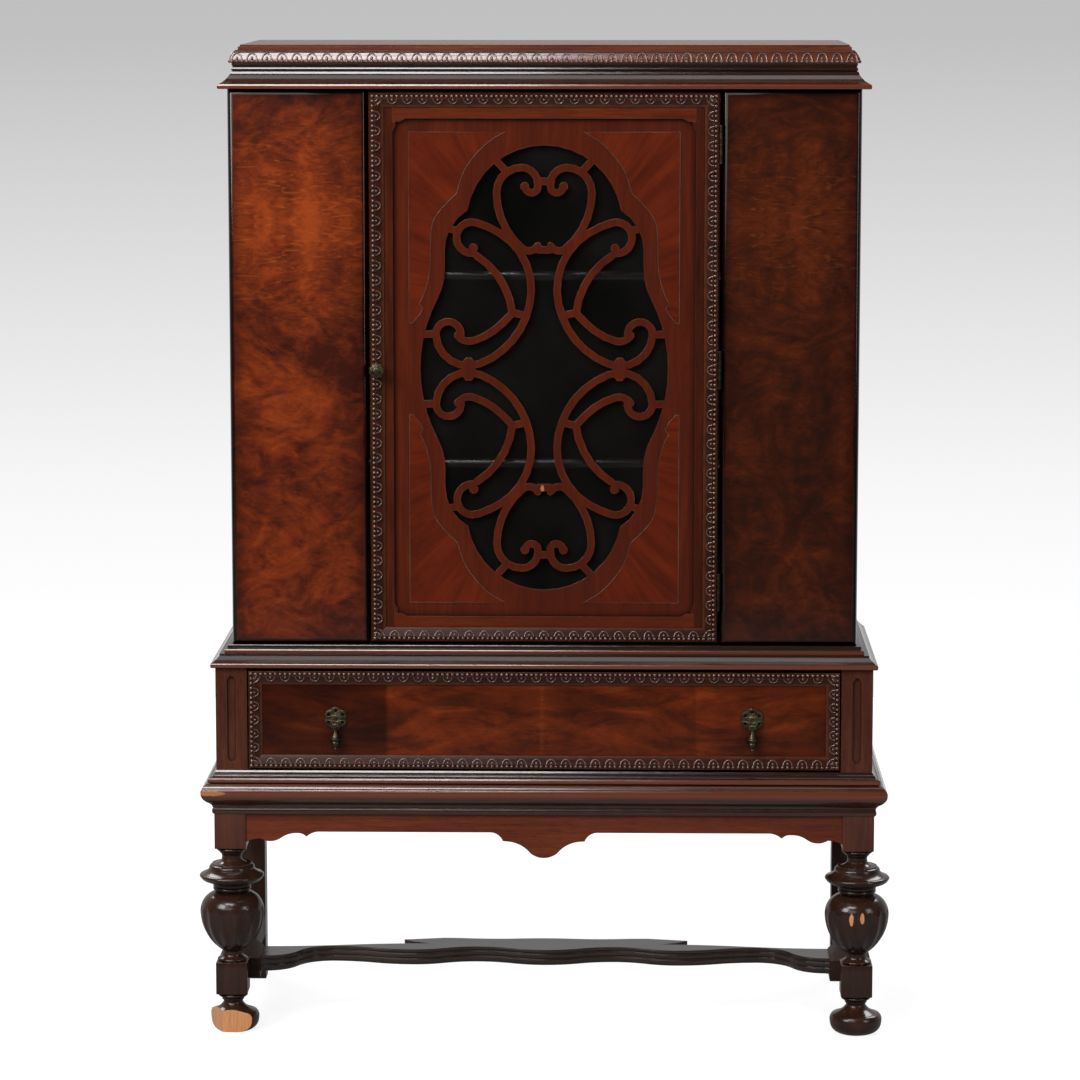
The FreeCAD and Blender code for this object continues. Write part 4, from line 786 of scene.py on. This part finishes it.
def growing_tree(name, sizes):
    """A new tree that takes runs of points and named sizes, with its runs as curves."""
    tree = bpy.data.node_groups.new(name, "GeometryNodeTree")
    tree.interface.new_socket("Runs", in_out="INPUT", socket_type="NodeSocketGeometry")
    for label in sizes:
        tree.interface.new_socket(label, in_out="INPUT", socket_type="NodeSocketFloat")
    tree.interface.new_socket("Piece", in_out="OUTPUT", socket_type="NodeSocketGeometry")
    web = Web(tree)
    given = web.node("NodeGroupInput").outputs
    return web, given, web.out("GeometryNodeMeshToCurve", {0: given["Runs"]})


def end_tree(web, geometry, finish, smooth=False):
    """Ends a tree with plain geometry in its finish."""
    real = web.out("GeometryNodeRealizeInstances", {0: geometry})
    if smooth:
        real = web.out("GeometryNodeSetShadeSmooth", {"Geometry": real})
    dressed = web.out("GeometryNodeSetMaterial", {"Geometry": real, "Material": finish})
    web.node("NodeGroupOutput", {0: dressed})
    return web.tree


def carving_tree(finish):
    """Lunettes with a leaf in each, and a bead row beside them, repeated along straight runs."""
    web, given, runs = growing_tree("carved_border", CARVING)
    half, reach, seat = given["Lunette half"], given["Lunette reach"], given["Seat"]
    high = web.axes(web.out("GeometryNodeInputPosition"))[2]

    def marks(pitch):
        """Points at an even pitch, half a pitch in from each end of a run."""
        length = web.out("GeometryNodeSplineLength")
        margin = web.times(pitch, 0.5)
        trim = web.node("GeometryNodeTrimCurve", {0: runs}, mode="LENGTH")
        for name, value in (("Start", margin), ("End", web.less(length, margin))):
            web.tree.links.new(value, next(s for s in trim.inputs if s.name == name and s.enabled))
        number = web.plus(web.reckon("ROUND", web.reckon("DIVIDE", length, pitch)), 1.0)
        inputs = {"Curve": trim.outputs[0], "Count": number}
        return web.out("GeometryNodeResampleCurve", inputs, mode="COUNT")

    def repeat(pitch, motif):
        """One motif at every mark, upright on the face that it adorns."""
        inputs = {"Name": "facing"}
        facing = web.out("GeometryNodeInputNamedAttribute", inputs, data_type="FLOAT_VECTOR")
        inputs = {0: facing, 1: web.out("GeometryNodeInputTangent")}
        stand = web.out("FunctionNodeAxesToRotation", inputs, primary_axis="Z", secondary_axis="X")
        inputs = {"Points": marks(pitch), "Instance": motif, "Rotation": stand}
        return web.out("GeometryNodeInstanceOnPoints", inputs)

    def moved(geometry, **inputs):
        return web.out("GeometryNodeTransform", {"Geometry": geometry, **inputs})

    def dome(spot, size):
        """A low button on the face."""
        ball = web.out("GeometryNodeMeshUVSphere", {"Segments": 8, "Rings": 6, "Radius": 1.0})
        return moved(ball, Translation=web.joined(*spot), Scale=web.joined(*size))

    def together(*parts):
        join = web.node("GeometryNodeJoinGeometry")
        for part in parts:
            web.tree.links.new(part, join.inputs[0])
        return join.outputs[0]

    def risen(geometry, height, full):
        """Keeps how high each point rises."""
        inputs = {"Geometry": geometry, "Name": "rise", "Value": web.reckon("DIVIDE", height, full)}
        return web.out("GeometryNodeStoreNamedAttribute", inputs)

    inputs = {"Resolution": 11, "Radius": 1.0, "Sweep Angle": math.pi}
    arch = web.out("GeometryNodeCurveArc", inputs, mode="RADIUS")
    arch = moved(arch, Translation=(0, 0, ROPE_LIFT), Scale=web.joined(half, reach, 1.0))
    inputs = {"Resolution": 6, "Radius": ROPE_RADIUS}
    reed = web.out("GeometryNodeCurvePrimitiveCircle", inputs, mode="RADIUS")
    rope = web.out("GeometryNodeCurveToMesh", {"Curve": arch, "Profile Curve": reed})
    leaf = dome((0.0, web.times(reach, 0.3), 0.0), (web.times(half, 0.3), web.times(reach, 0.27), LEAF_HIGH))
    lunette = moved(risen(together(leaf, rope), high, LUNETTE_HIGH),
                    Translation=web.joined(0.0, given["Lunette inset"], web.times(seat, 1.9)),
                    Rotation=web.joined(given["Slope"], 0.0, 0.0))
    pitch = given["Bead pitch"]
    bead = dome((0.0, given["Bead inset"], seat), (web.times(pitch, 0.39), BEAD_DEEP, BEAD_HIGH))
    bead = risen(bead, web.less(high, seat), BEAD_RISE)
    both = together(repeat(pitch, bead), repeat(given["Lunette pitch"], lunette))
    return end_tree(web, both, finish, smooth=True)


def grown(name, tree, lines, sizes):
    """Runs a node tree over lines of points and keeps the result as one plain mesh."""
    mesh = bpy.data.meshes.new(f"{name}_lines")
    spots, edges, facings = [], [], []
    for line, facing in lines:
        edges += [(len(spots) + i, len(spots) + i + 1) for i in range(len(line) - 1)]
        spots += [Vector(p) * MM for p in line]
        facings += [component for _ in line for component in facing]
    mesh.from_pydata(spots, edges, [])
    mesh.attributes.new("facing", "FLOAT_VECTOR", "POINT").data.foreach_set("vector", facings)
    guide = added(f"{name}_guide", mesh)
    modifier = guide.modifiers.new("nodes", "NODES")
    modifier.node_group = tree
    for socket in tree.interface.items_tree:
        if socket.in_out == "INPUT" and socket.name in sizes:
            modifier[socket.identifier] = sizes[socket.name]
    made = settled(guide)
    made.name = name
    return added(name, made)


def frame_runs(half, low, high, face):
    """The four sides of an upright frame, each with its inner side to the left of its way."""
    corners = [(-half, face, high), (-half, face, low), (half, face, low), (half, face, high)]
    return [((corners[i - 1], corners[i]), FORWARD) for i in (1, 2, 3, 0)]


def carve_borders(finish):
    """The carved borders of the door and the drawer, and the carved band of the cornice."""
    tree = carving_tree(finish)
    for body in ("door", "drawer"):
        low, high = (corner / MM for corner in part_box(f"{body}_moulding"))
        border = grown(f"{body}_carving", tree, frame_runs(high.x, low.z, high.z, high.y), CARVING)
        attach(border, body)
    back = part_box("cornice_carved_band")[1].y / MM
    half, face = UPPER[0] + BAND_OUT, UPPER[1] - BAND_OUT
    corners = [(x, y, BAND_LOW) for x, y in ((-half, back), (-half, face), (half, face), (half, back))]
    runs = list(zip(zip(corners, corners[1:]), ((-1, 0, 0), FORWARD, (1, 0, 0))))
    cornice = grown("cornice_carving", tree, runs, CORNICE_CARVING)
    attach(cornice, "carcass")


# Corner veneers and stringing of the door

CROWN = [(-62.4, 378.2), (-93.8, 358.4), (-125.1, 320.6), (-139.5, 280.6)]
FLANK = [
    (-139.5, 280.6), (-162.6, 257.6), (-177, 235.2), (-181, 203.2), (-182.4, 158.4), (-190.9, 123.2),
    (-199.4, 104.8),
]
HOOK = [(-193.8, 97.6), (-199.4, 86.4), (-210.9, 73.6), (-216.2, 73.6)]
VENEER_CORNER = (-216.2, 378.2)
VENEER_PROUD, VENEER_THICK, STRING_SUNK, STRING_RADIUS = 0.15, 0.45, 0.1, 0.0008


def smooth_run(points, parts=7):
    """A rounded line through points."""
    line = [points[0]]
    last = len(points) - 1
    for index in range(last):
        before, start, end, after = (Vector(points[min(max(index + k, 0), last)]) for k in (-1, 0, 1, 2))
        for step in range(1, parts + 1):
            t = step / parts
            spot = (2 * start + (end - before) * t + (2 * before - 5 * start + 4 * end - after) * t * t
                    + (3 * start - before - 3 * end + after) * t ** 3) / 2
            line.append(tuple(spot))
    return line


def stringing_tree(finish):
    """A thin round line let into a face, along any run of points."""
    web, given, runs = growing_tree("inlaid_line", ["Line radius"])
    inputs = {"Resolution": 6, "Radius": given["Line radius"]}
    round_line = web.out("GeometryNodeCurvePrimitiveCircle", inputs, mode="RADIUS")
    tube = web.out("GeometryNodeCurveToMesh", {"Curve": runs, "Profile Curve": round_line})
    return end_tree(web, tube, finish)


def dress_fret(veneer, line_finish):
    """Four corner veneers on the fret panel, each with a string let in round it."""
    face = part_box("fret_panel")[0].y / MM
    corner = [VENEER_CORNER] + smooth_run(CROWN) + smooth_run(FLANK)[1:] + HOOK
    bm = bmesh.new()
    lines = []
    for side, up in ((1, 1), (-1, 1), (-1, -1), (1, -1)):
        outline = [(side * x, up * z + DOOR_MIDDLE / MM) for x, z in corner]
        plan = [Vector((x, face - VENEER_PROUD, z)) * MM for x, z in outline]
        thicken(bm, plan, (0, VENEER_THICK * MM, 0))
        lines.append(([(x, face + STRING_SUNK, z) for x, z in outline + outline[:1]], FORWARD))
    close_up(bm)
    bmesh.ops.triangulate(bm, faces=bm.faces)
    veneers = show("door_corner_veneers", bm, veneer)
    strings = grown("door_stringing", stringing_tree(line_finish), lines, {"Line radius": STRING_RADIUS})
    for piece in (veneers, strings):
        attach(piece, "door")


# Brass fittings

PULL_OUT, PULL_FACE, PULL_LEVEL = 336, -182.5, 521
DROP_FACE, DROP_LEVEL = -195, 511.88
PLATE_RADIUS, PLATE_SCALLOP, PLATE_LOBES = 15.4, 3, 6
PLATE_HALF, PLATE_BEVEL, PLATE_SEAT = 0.5, 0.45, 1.1
PLATE_DOME, DOME_RADIUS, PLATE_WAVE, WAVE_RADIUS = 1.2, 20, 0.45, 15
HOLE_OUT, HOLE_LONG, HOLE_WIDE, HOLE_SWELL = 12.6, 3.2, 3.7, 0.3
BEADS, BEAD_RADIUS, BEAD_RING, BEAD_PROUD = 16, 0.95, 8.6, 2.7
EAR_NEAR, EAR_FAR, EAR_EASE = 2.8, 4.8, 0.5
EAR_FRONT, EAR_BACK, EAR_LOW, EAR_HIGH = -15.4, -1.5, -12.1, -6.1
BOSS = [(0, 0.4), (6.6, 0.4), (6.6, 2.6), (5.6, 3.6, 0.5), (5, 3.2), (4.2, 3.9, 0.3), (0, 4.6)]
LOBES, LOBE_DEEP, LOBE_FOOT = 8, 0.05, 2
PIN_END = (-5.6, -12.5, -9.12)
PIN = [(0, 0), (1.9, 0), (2.1, 0.5), (1.25, 0.9), (1.25, 10.3), (2.1, 10.7), (1.9, 11.2), (0, 11.2)]
EYE_END = (-2.5, 0, 0)
EYE = [(1.5, 0.4), (1.9, 0), (3.2, 0), (3.7, 0.6), (3.7, 4.4), (3.2, 5), (1.9, 5), (1.5, 4.6), (1.5, 0.4)]
DROP = [
    (0, -43.4), (1.2, -42.4, 0.3), (2.4, -40.4, 0.4), (2.8, -38.4, 0.3), (2, -36.6), (3.2, -35),
    (6, -31.6, 0.9), (7.2, -28.4, 0.5), (6, -26.4), (7.4, -25.4), (8.8, -22.4, 0.4), (8.4, -20.6, 0.3),
    (5.6, -17, -0.4), (3.6, -13, -0.2), (2.6, -10.6), (3.5, -10), (3.5, -9, 0.4), (2.4, -8),
    (2.3, -2.6), (0, -2.6),
]
KNOB = [
    (0, 0), (7.75, 0), (7.75, 1.6, 0.4), (4.4, 4.4, -0.8), (3.9, 9, -0.3), (6.2, 10.4), (11.2, 12.6, 0.5),
    (12.1, 15, 0.5), (11.4, 18, 0.5), (9.4, 19.2), (8.9, 18.7), (8.2, 20.4, 0.5), (6.2, 21.4, 0.3),
    (5.6, 20.9), (4.8, 22.2, 0.4), (2.4, 22.8, 0.2), (0, 22.9),
]
PETALS, PETAL_DEEP, PETAL_FOOT, PETAL_INNER = 10, 0.055, 11, 19.3


def plate_outline(curve, points):
    """One closed outline of a flat plate."""
    line = curve.splines.new("POLY")
    line.points.add(len(points) - 1)
    for point, (x, z) in zip(line.points, points):
        point.co = (x * MM, z * MM, 0, 1)
    line.use_cyclic_u = True


def scallop(angle):
    """A point of the plate's rim."""
    out = PLATE_RADIUS + PLATE_SCALLOP * abs(math.cos(PLATE_LOBES / 2 * angle)) ** 0.7
    return out * math.sin(angle), out * math.cos(angle)


def drop_hole(middle, angle):
    """A point of the drop-shaped hole in the middle of a lobe."""
    out = HOLE_OUT + HOLE_LONG * math.cos(angle)
    across = HOLE_WIDE * math.sin(angle) * (1 + HOLE_SWELL * math.cos(angle))
    x = out * math.sin(middle) + across * math.cos(middle)
    return x, out * math.cos(middle) - across * math.sin(middle)


def pierced_plate():
    """Scalloped rosette with six drop-shaped holes, as a mesh in its own plane."""
    curve = bpy.data.curves.new("rosette", "CURVE")
    curve.dimensions = "2D"
    curve.fill_mode = "BOTH"
    curve.extrude = PLATE_HALF * MM
    curve.bevel_depth = PLATE_BEVEL * MM
    curve.bevel_resolution = 2
    plate_outline(curve, [scallop(angle) for angle in circle(128)])
    for middle in circle(PLATE_LOBES):
        plate_outline(curve, [drop_hole(middle, angle) for angle in circle(18)])
    mesh = settled(added("rosette", curve))
    bpy.data.curves.remove(curve)
    return mesh


def boss_lobes(radius, height, angle):
    """Opens the upper part of the boss into lobes."""
    return radius * (1 + LOBE_DEEP * math.cos(LOBES * angle)) if height > LOBE_FOOT else radius


def pull_rosettes(finish):
    """Both pierced plates, domed, with their beaded bosses, ears and pins."""
    bm = bmesh.new()
    flat = pierced_plate()
    for side in SIDES.values():
        centre = Vector((side * PULL_OUT, PULL_FACE, PULL_LEVEL))
        already = len(bm.verts)
        bm.from_mesh(flat)
        for vert in list(bm.verts)[already:]:
            x, z, lift = vert.co / MM
            out = math.hypot(x, z)
            wave = PLATE_WAVE * math.cos(PLATE_LOBES * math.atan2(x, z)) * min(1, out / WAVE_RADIUS)
            crown = PLATE_DOME * max(0, 1 - (out / DOME_RADIUS) ** 2) + wave
            vert.co = (centre + Vector((x, -PLATE_SEAT - lift - crown, z))) * MM
        turn(bm, profile(BOSS), 40, lathe(centre, "X"), boss_lobes)
        for angle in circle(BEADS):
            away = Vector((BEAD_RING * math.sin(angle), -BEAD_PROUD, BEAD_RING * math.cos(angle)))
            bmesh.ops.create_icosphere(bm, subdivisions=1, radius=BEAD_RADIUS * MM,
                                       matrix=Matrix.Translation((centre + away) * MM))
        for edge in (-1, 1):
            near, far = sorted((edge * EAR_NEAR, edge * EAR_FAR))
            low, high = Vector((near, EAR_FRONT, EAR_LOW)), Vector((far, EAR_BACK, EAR_HIGH))
            block(bm, centre + low, centre + high, EAR_EASE)
        turn(bm, PIN, 16, lathe(centre + Vector(PIN_END), "Y"))
    close_up(bm)
    bpy.data.meshes.remove(flat)
    plates = show("pull_rosettes", bm, finish, 35)
    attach(plates, "drawer")
    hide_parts("pull_plates")


def pull_pendant(side, finish):
    """Turned brass drop on its eye."""
    pivot = Vector((SIDES[side] * PULL_OUT, DROP_FACE, DROP_LEVEL))
    bm = bmesh.new()
    turn(bm, profile(DROP), 36, lathe(pivot))
    turn(bm, EYE, 28, lathe(pivot + Vector(EYE_END), "Y"))
    close_up(bm)
    drop = show(f"pull_pendant_{side}", bm, finish, 40)
    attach(drop, f"drop_{side}")
    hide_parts(f"pull_drop_{side}")


def petals(radius, height, angle):
    """Opens the knob's rim and inner row into petals."""
    if height < PETAL_FOOT:
        return radius
    start = math.pi if height > PETAL_INNER else 0
    return radius * (1 + PETAL_DEEP * math.cos(PETALS * angle + start))


def knob_rosette(finish):
    """Turned and petalled knob of the latch."""
    low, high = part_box("door_knob")
    centre = Vector(((low.x + high.x) / 2, high.y, (low.z + high.z) / 2)) / MM
    bm = bmesh.new()
    turn(bm, profile(KNOB), 80, lathe(centre, "X"), petals)
    close_up(bm)
    knob = show("knob_rosette", bm, finish, 40)
    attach(knob, "latch")
    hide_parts("door_knob")


# Dressing the solids and making the pieces

def dress(finish, *names):
    """Gives a finish to the solids of these names."""
    for name in names:
        solid = NODES[name]
        if not solid.material_slots:
            solid.data.materials.append(finish)
        for slot in solid.material_slots:
            slot.material = finish


def pair(name):
    """The left and the right solid of a name."""
    return [f"{name}_{side}" for side in SIDES]


APRON_CHIP = (473, -182, 372), (14, 14, 5)
TORUS_CHIP = (-538, -206, 401), (32, 16, 6)
FRET_CHIP = (-3, -154, 892), (4, 14, 7)
FOOT_SPLITS = [(25.2, -3), (25.2, -62)]
URN_CHIPS = [(-11, 198, 3.4, 10), (6.5, 200, 3, 9)]

brass = old_brass("aged_brass_fittings", 0.85)
turning = turned_wood("turned_stained_wood")
moulding_walnut = wood("moulding_walnut", MOULDING, "run", (0.08, 0.16), 0.35, 0.6, ease=FINE_EASE)
torus_walnut = wood("torus_walnut", TORUS_STAIN, "run", (0.09, 0.18), 0.3, 0.6, marks=[TORUS_CHIP],
                    ease=FINE_EASE)
stretcher_walnut = wood("stretcher_walnut", STRETCHER, "X", (0.12, 0.24), 0.25, 0.4, ease=FINE_EASE)
side_walnut = wood("side_stretcher_walnut", STRETCHER, "Y", (0.3, 0.5), 0.0, 0.08)

dress(wood("apron_walnut", APRON, "X", marks=[APRON_CHIP]), "front_apron")
dress(wood("rail_walnut", FRAME, "X"), "rear_rail", "waist_board")
dress(wood("top_walnut", TOP, "X", (0.2, 0.34), 0.1, 0.3), "top_board")
dress(wood("side_walnut", FRAME, "Y"), *pair("side_apron"), *pair("drawer_case_side"))
dress(wood("upright_walnut", FRAME, "Z"), *pair("upper_side"))
dress(wood("stile_walnut", STILE, "Z"), *pair("corner_stile"))
dress(wood("carved_ground", CARVED_GROUND, "X", coat=0.1, gloss=0.16), "door_moulding", "drawer_moulding")
dress(turning, *pair("rear_leg"))
dress(feather_veneer("drawer_crotch"), "drawer_front")
# The margins of the door veneers are painted shade towards what stands proud beside them.
dress(wood("stile_veneer", DOOR, "Z", margin=0.014, open_grain=0.4), *pair("door_stile"))
dress(wood("rail_veneer", RAIL, "X", margin=0.014, open_grain=0.4), "door_rail_top", "door_rail_bottom")
dress(wood("fret_veneer", FRET, "Z", (0.1, 0.2), 0.2, 0.3, FRET_WEAR_AND_HIGHLIGHT, [FRET_CHIP], 1.3, 0.012,
           open_grain=0.25), "fret_panel")
# The near-black inside faces of the upper case are painted shade.
dress(plain_inside("dark_inside_wood", INSIDE_PAINTED_SHADE), "upper_back", "upper_bottom", "upper_top",
      "shelf_cleats", "glass_stops")
dress(wood("shelf_walnut", SHELF, "X", (0.06, 0.12), 1.0, 1.0, None, ease=0.005),
      "shelf_upper", "shelf_lower")
dress(plain_inside("drawer_lining_wood", LINING), *pair("drawer_side"), "drawer_back", "drawer_bottom",
      "drawer_runners", "drawer_case_bottom", "drawer_case_back")
dress(old_glass("old_pane_glass"), "glass_pane")
dress(old_brass("dark_brass_hinges", 0.45), "hinge_leaves_case", "hinge_leaves_door")
dress(brass, "latch_spindle", "latch_bar")

moulding("torus_run", "stand_moulding", STAND, TORUS, torus_walnut)
for run, case, section in (("base", CASE, BASE), ("waist", CASE, WAIST), ("upper_base", UPPER, UPPER_BASE),
                           ("cornice", UPPER, CORNICE)):
    moulding(f"{run}_run", f"{run}_moulding", case, section, moulding_walnut)
moulding("cornice_band", "cornice_carved_band", UPPER, BAND, moulding_walnut, BAND_SHADE)
moulded_stretcher(stretcher_walnut)
for side in SIDES:
    side_stretcher(side, side_walnut)
for side in SIDES:
    rounded_panel(side, folded_burl(f"{side}_burl", side))
front_leg("left", turning, splits=FOOT_SPLITS)
front_leg("right", turning, chips=URN_CHIPS)
carve_borders(carved_wood("carved_stained_wood"))
# The string's pale finish is a painted highlight.
dress_fret(fan_veneer("corner_fan_veneer"), wood("pale_stringing", STRING_HIGHLIGHT_TONES, "Z", worn=None))
pull_rosettes(brass)
for side in SIDES:
    pull_pendant(side, brass)
knob_rosette(brass)


# Floor, backdrop, light and camera

FLOOR_RADII, FLOOR_SIDES = (3.0, 1.8, 0.8), 96
CAMERA_LENS, CAMERA_SENSOR, CAMERA_SIGHT = 138.7, 36, 60
CAMERA_AWAY, CAMERA_ASIDE, CAMERA_DOWN = 6.6, math.radians(1.2), 8.08
CAMERA_LEVEL, CAMERA_STEP = 1.75, -0.006


def seen(web, glossy):
    """1 for what the camera, a reflection or clear glass shows, with a share for reflections."""
    path = web.node("ShaderNodeLightPath").outputs
    direct = web.reckon("MAXIMUM", path["Is Camera Ray"], path["Is Transmission Ray"])
    return web.reckon("MAXIMUM", direct, web.times(path["Is Glossy Ray"], glossy))


def paper_floor():
    """A round pale floor that keeps the object's shadow."""
    bm = bmesh.new()
    rings = []
    for radius in FLOOR_RADII:
        spots = [(radius * math.cos(a), radius * math.sin(a), 0) for a in circle(FLOOR_SIDES)]
        rings.append([bm.verts.new(spot) for spot in spots])
    skin(bm, rings)
    bm.faces.new(rings[-1])
    web = Finish("pale_studio_paper", gloss=0.1)
    fibre = web.noise(30, 4)
    pale = web.ramp(fibre, (0.3, 0.2), (0.7, 0.23))
    web.dress({"Base Color": pale, "Roughness": web.scaled(fibre, 0.1, 0.75)})
    away = web.out("ShaderNodeVectorMath", {0: web.lay()}, 1, operation="LENGTH")
    white = web.ramp(web.times(away, 0.33), (0.35, 0.87), (0.85, 1.0))
    bright = web.out("ShaderNodeEmission", {"Strength": web.times(seen(web, 0.12), white)})
    both = web.out("ShaderNodeAddShader", {0: web.shader.outputs[0], 1: bright})
    web.fill(web.tree.nodes["Material Output"], {0: both})
    show("paper_floor", bm, web.material)


def studio():
    """A dim room whose backdrop looks grey above and white low down."""
    world = bpy.data.worlds.new("studio")
    world.use_nodes = True
    web = Web(world.node_tree)
    room = web.tree.nodes["Background"]
    web.fill(room, {0: (0.95, 0.97, 1.0, 1), 1: 0.1})
    way = web.axes(web.out("ShaderNodeTexCoord", None, "Generated"))
    paper = web.ramp(web.scaled(way[2], 3.0, 0.6), (0.13, 1.0), (0.22, 0.93), (0.54, 0.53), (0.9, 0.45))
    behind = web.ramp(web.scaled(way[1], 0.5, 0.5), (0.5, 0.0), (0.8, 1.0))
    camera_ray = web.out("ShaderNodeLightPath", None, "Is Camera Ray")
    shown = web.reckon("MAXIMUM", camera_ray, web.times(seen(web, 1.0), behind))
    backdrop = web.out("ShaderNodeBackground", {"Color": paper, "Strength": 1.0})
    both = web.out("ShaderNodeMixShader", {0: shown, 1: room.outputs[0], 2: backdrop})
    web.fill(web.tree.nodes["World Output"], {0: both})
    bpy.context.scene.world = world


def lamp(name, power, size, spot, aim):
    """A soft flat lamp, aimed at a spot and hidden from the camera."""
    light = bpy.data.lights.new(name, "AREA")
    light.energy = power
    light.shape = "RECTANGLE"
    light.size, light.size_y = size
    thing = added(name, light)
    thing.location = spot
    thing.rotation_euler = (Vector(aim) - Vector(spot)).to_track_quat("-Z", "Y").to_euler()
    thing.visible_camera = False


def viewpoint():
    """The camera, a little to the right and looking slightly down at the front of the stand."""
    camera = bpy.data.cameras.new("camera")
    camera.lens = CAMERA_LENS
    camera.sensor_width = CAMERA_SENSOR
    camera.clip_end = CAMERA_SIGHT
    viewer = added("camera", camera)
    front = STAND[1] * MM
    viewer.location = (CAMERA_AWAY * math.sin(CAMERA_ASIDE) + CAMERA_STEP,
                       front - CAMERA_AWAY * math.cos(CAMERA_ASIDE), CAMERA_LEVEL)
    viewer.rotation_euler = (math.radians(90 - CAMERA_DOWN), 0, CAMERA_ASIDE)
    bpy.context.scene.camera = viewer


paper_floor()
studio()
lamp("key_left", 122, (1.8, 1.8), (-2.8, -3.0, 3.0), (0, 0, 0.9))
lamp("overhead_left", 66, (2.0, 0.8), (-1.0, -2.6, 3.9), (0, 0, 0.8))
lamp("front_left", 30, (2.4, 1.5), (-1.3, -5.0, 2.9), (0, 0, 0.9))
lamp("ceiling", 12, (2.8, 0.9), (0, -0.7, 4.2), (0, -0.3, 0))
lamp("fill_right", 36, (1.2, 2.0), (3.4, -2.8, 2.2), (0, 0, 0.8))
lamp("back_left", 105, (2.0, 2.0), (-2.6, 2.8, 4.1), (0, 0.2, 0.8))
lamp("back_right", 105, (2.0, 2.0), (2.6, 2.8, 4.1), (0, 0.2, 0.8))
viewpoint()
bpy.context.scene.view_settings.view_transform = "Standard"
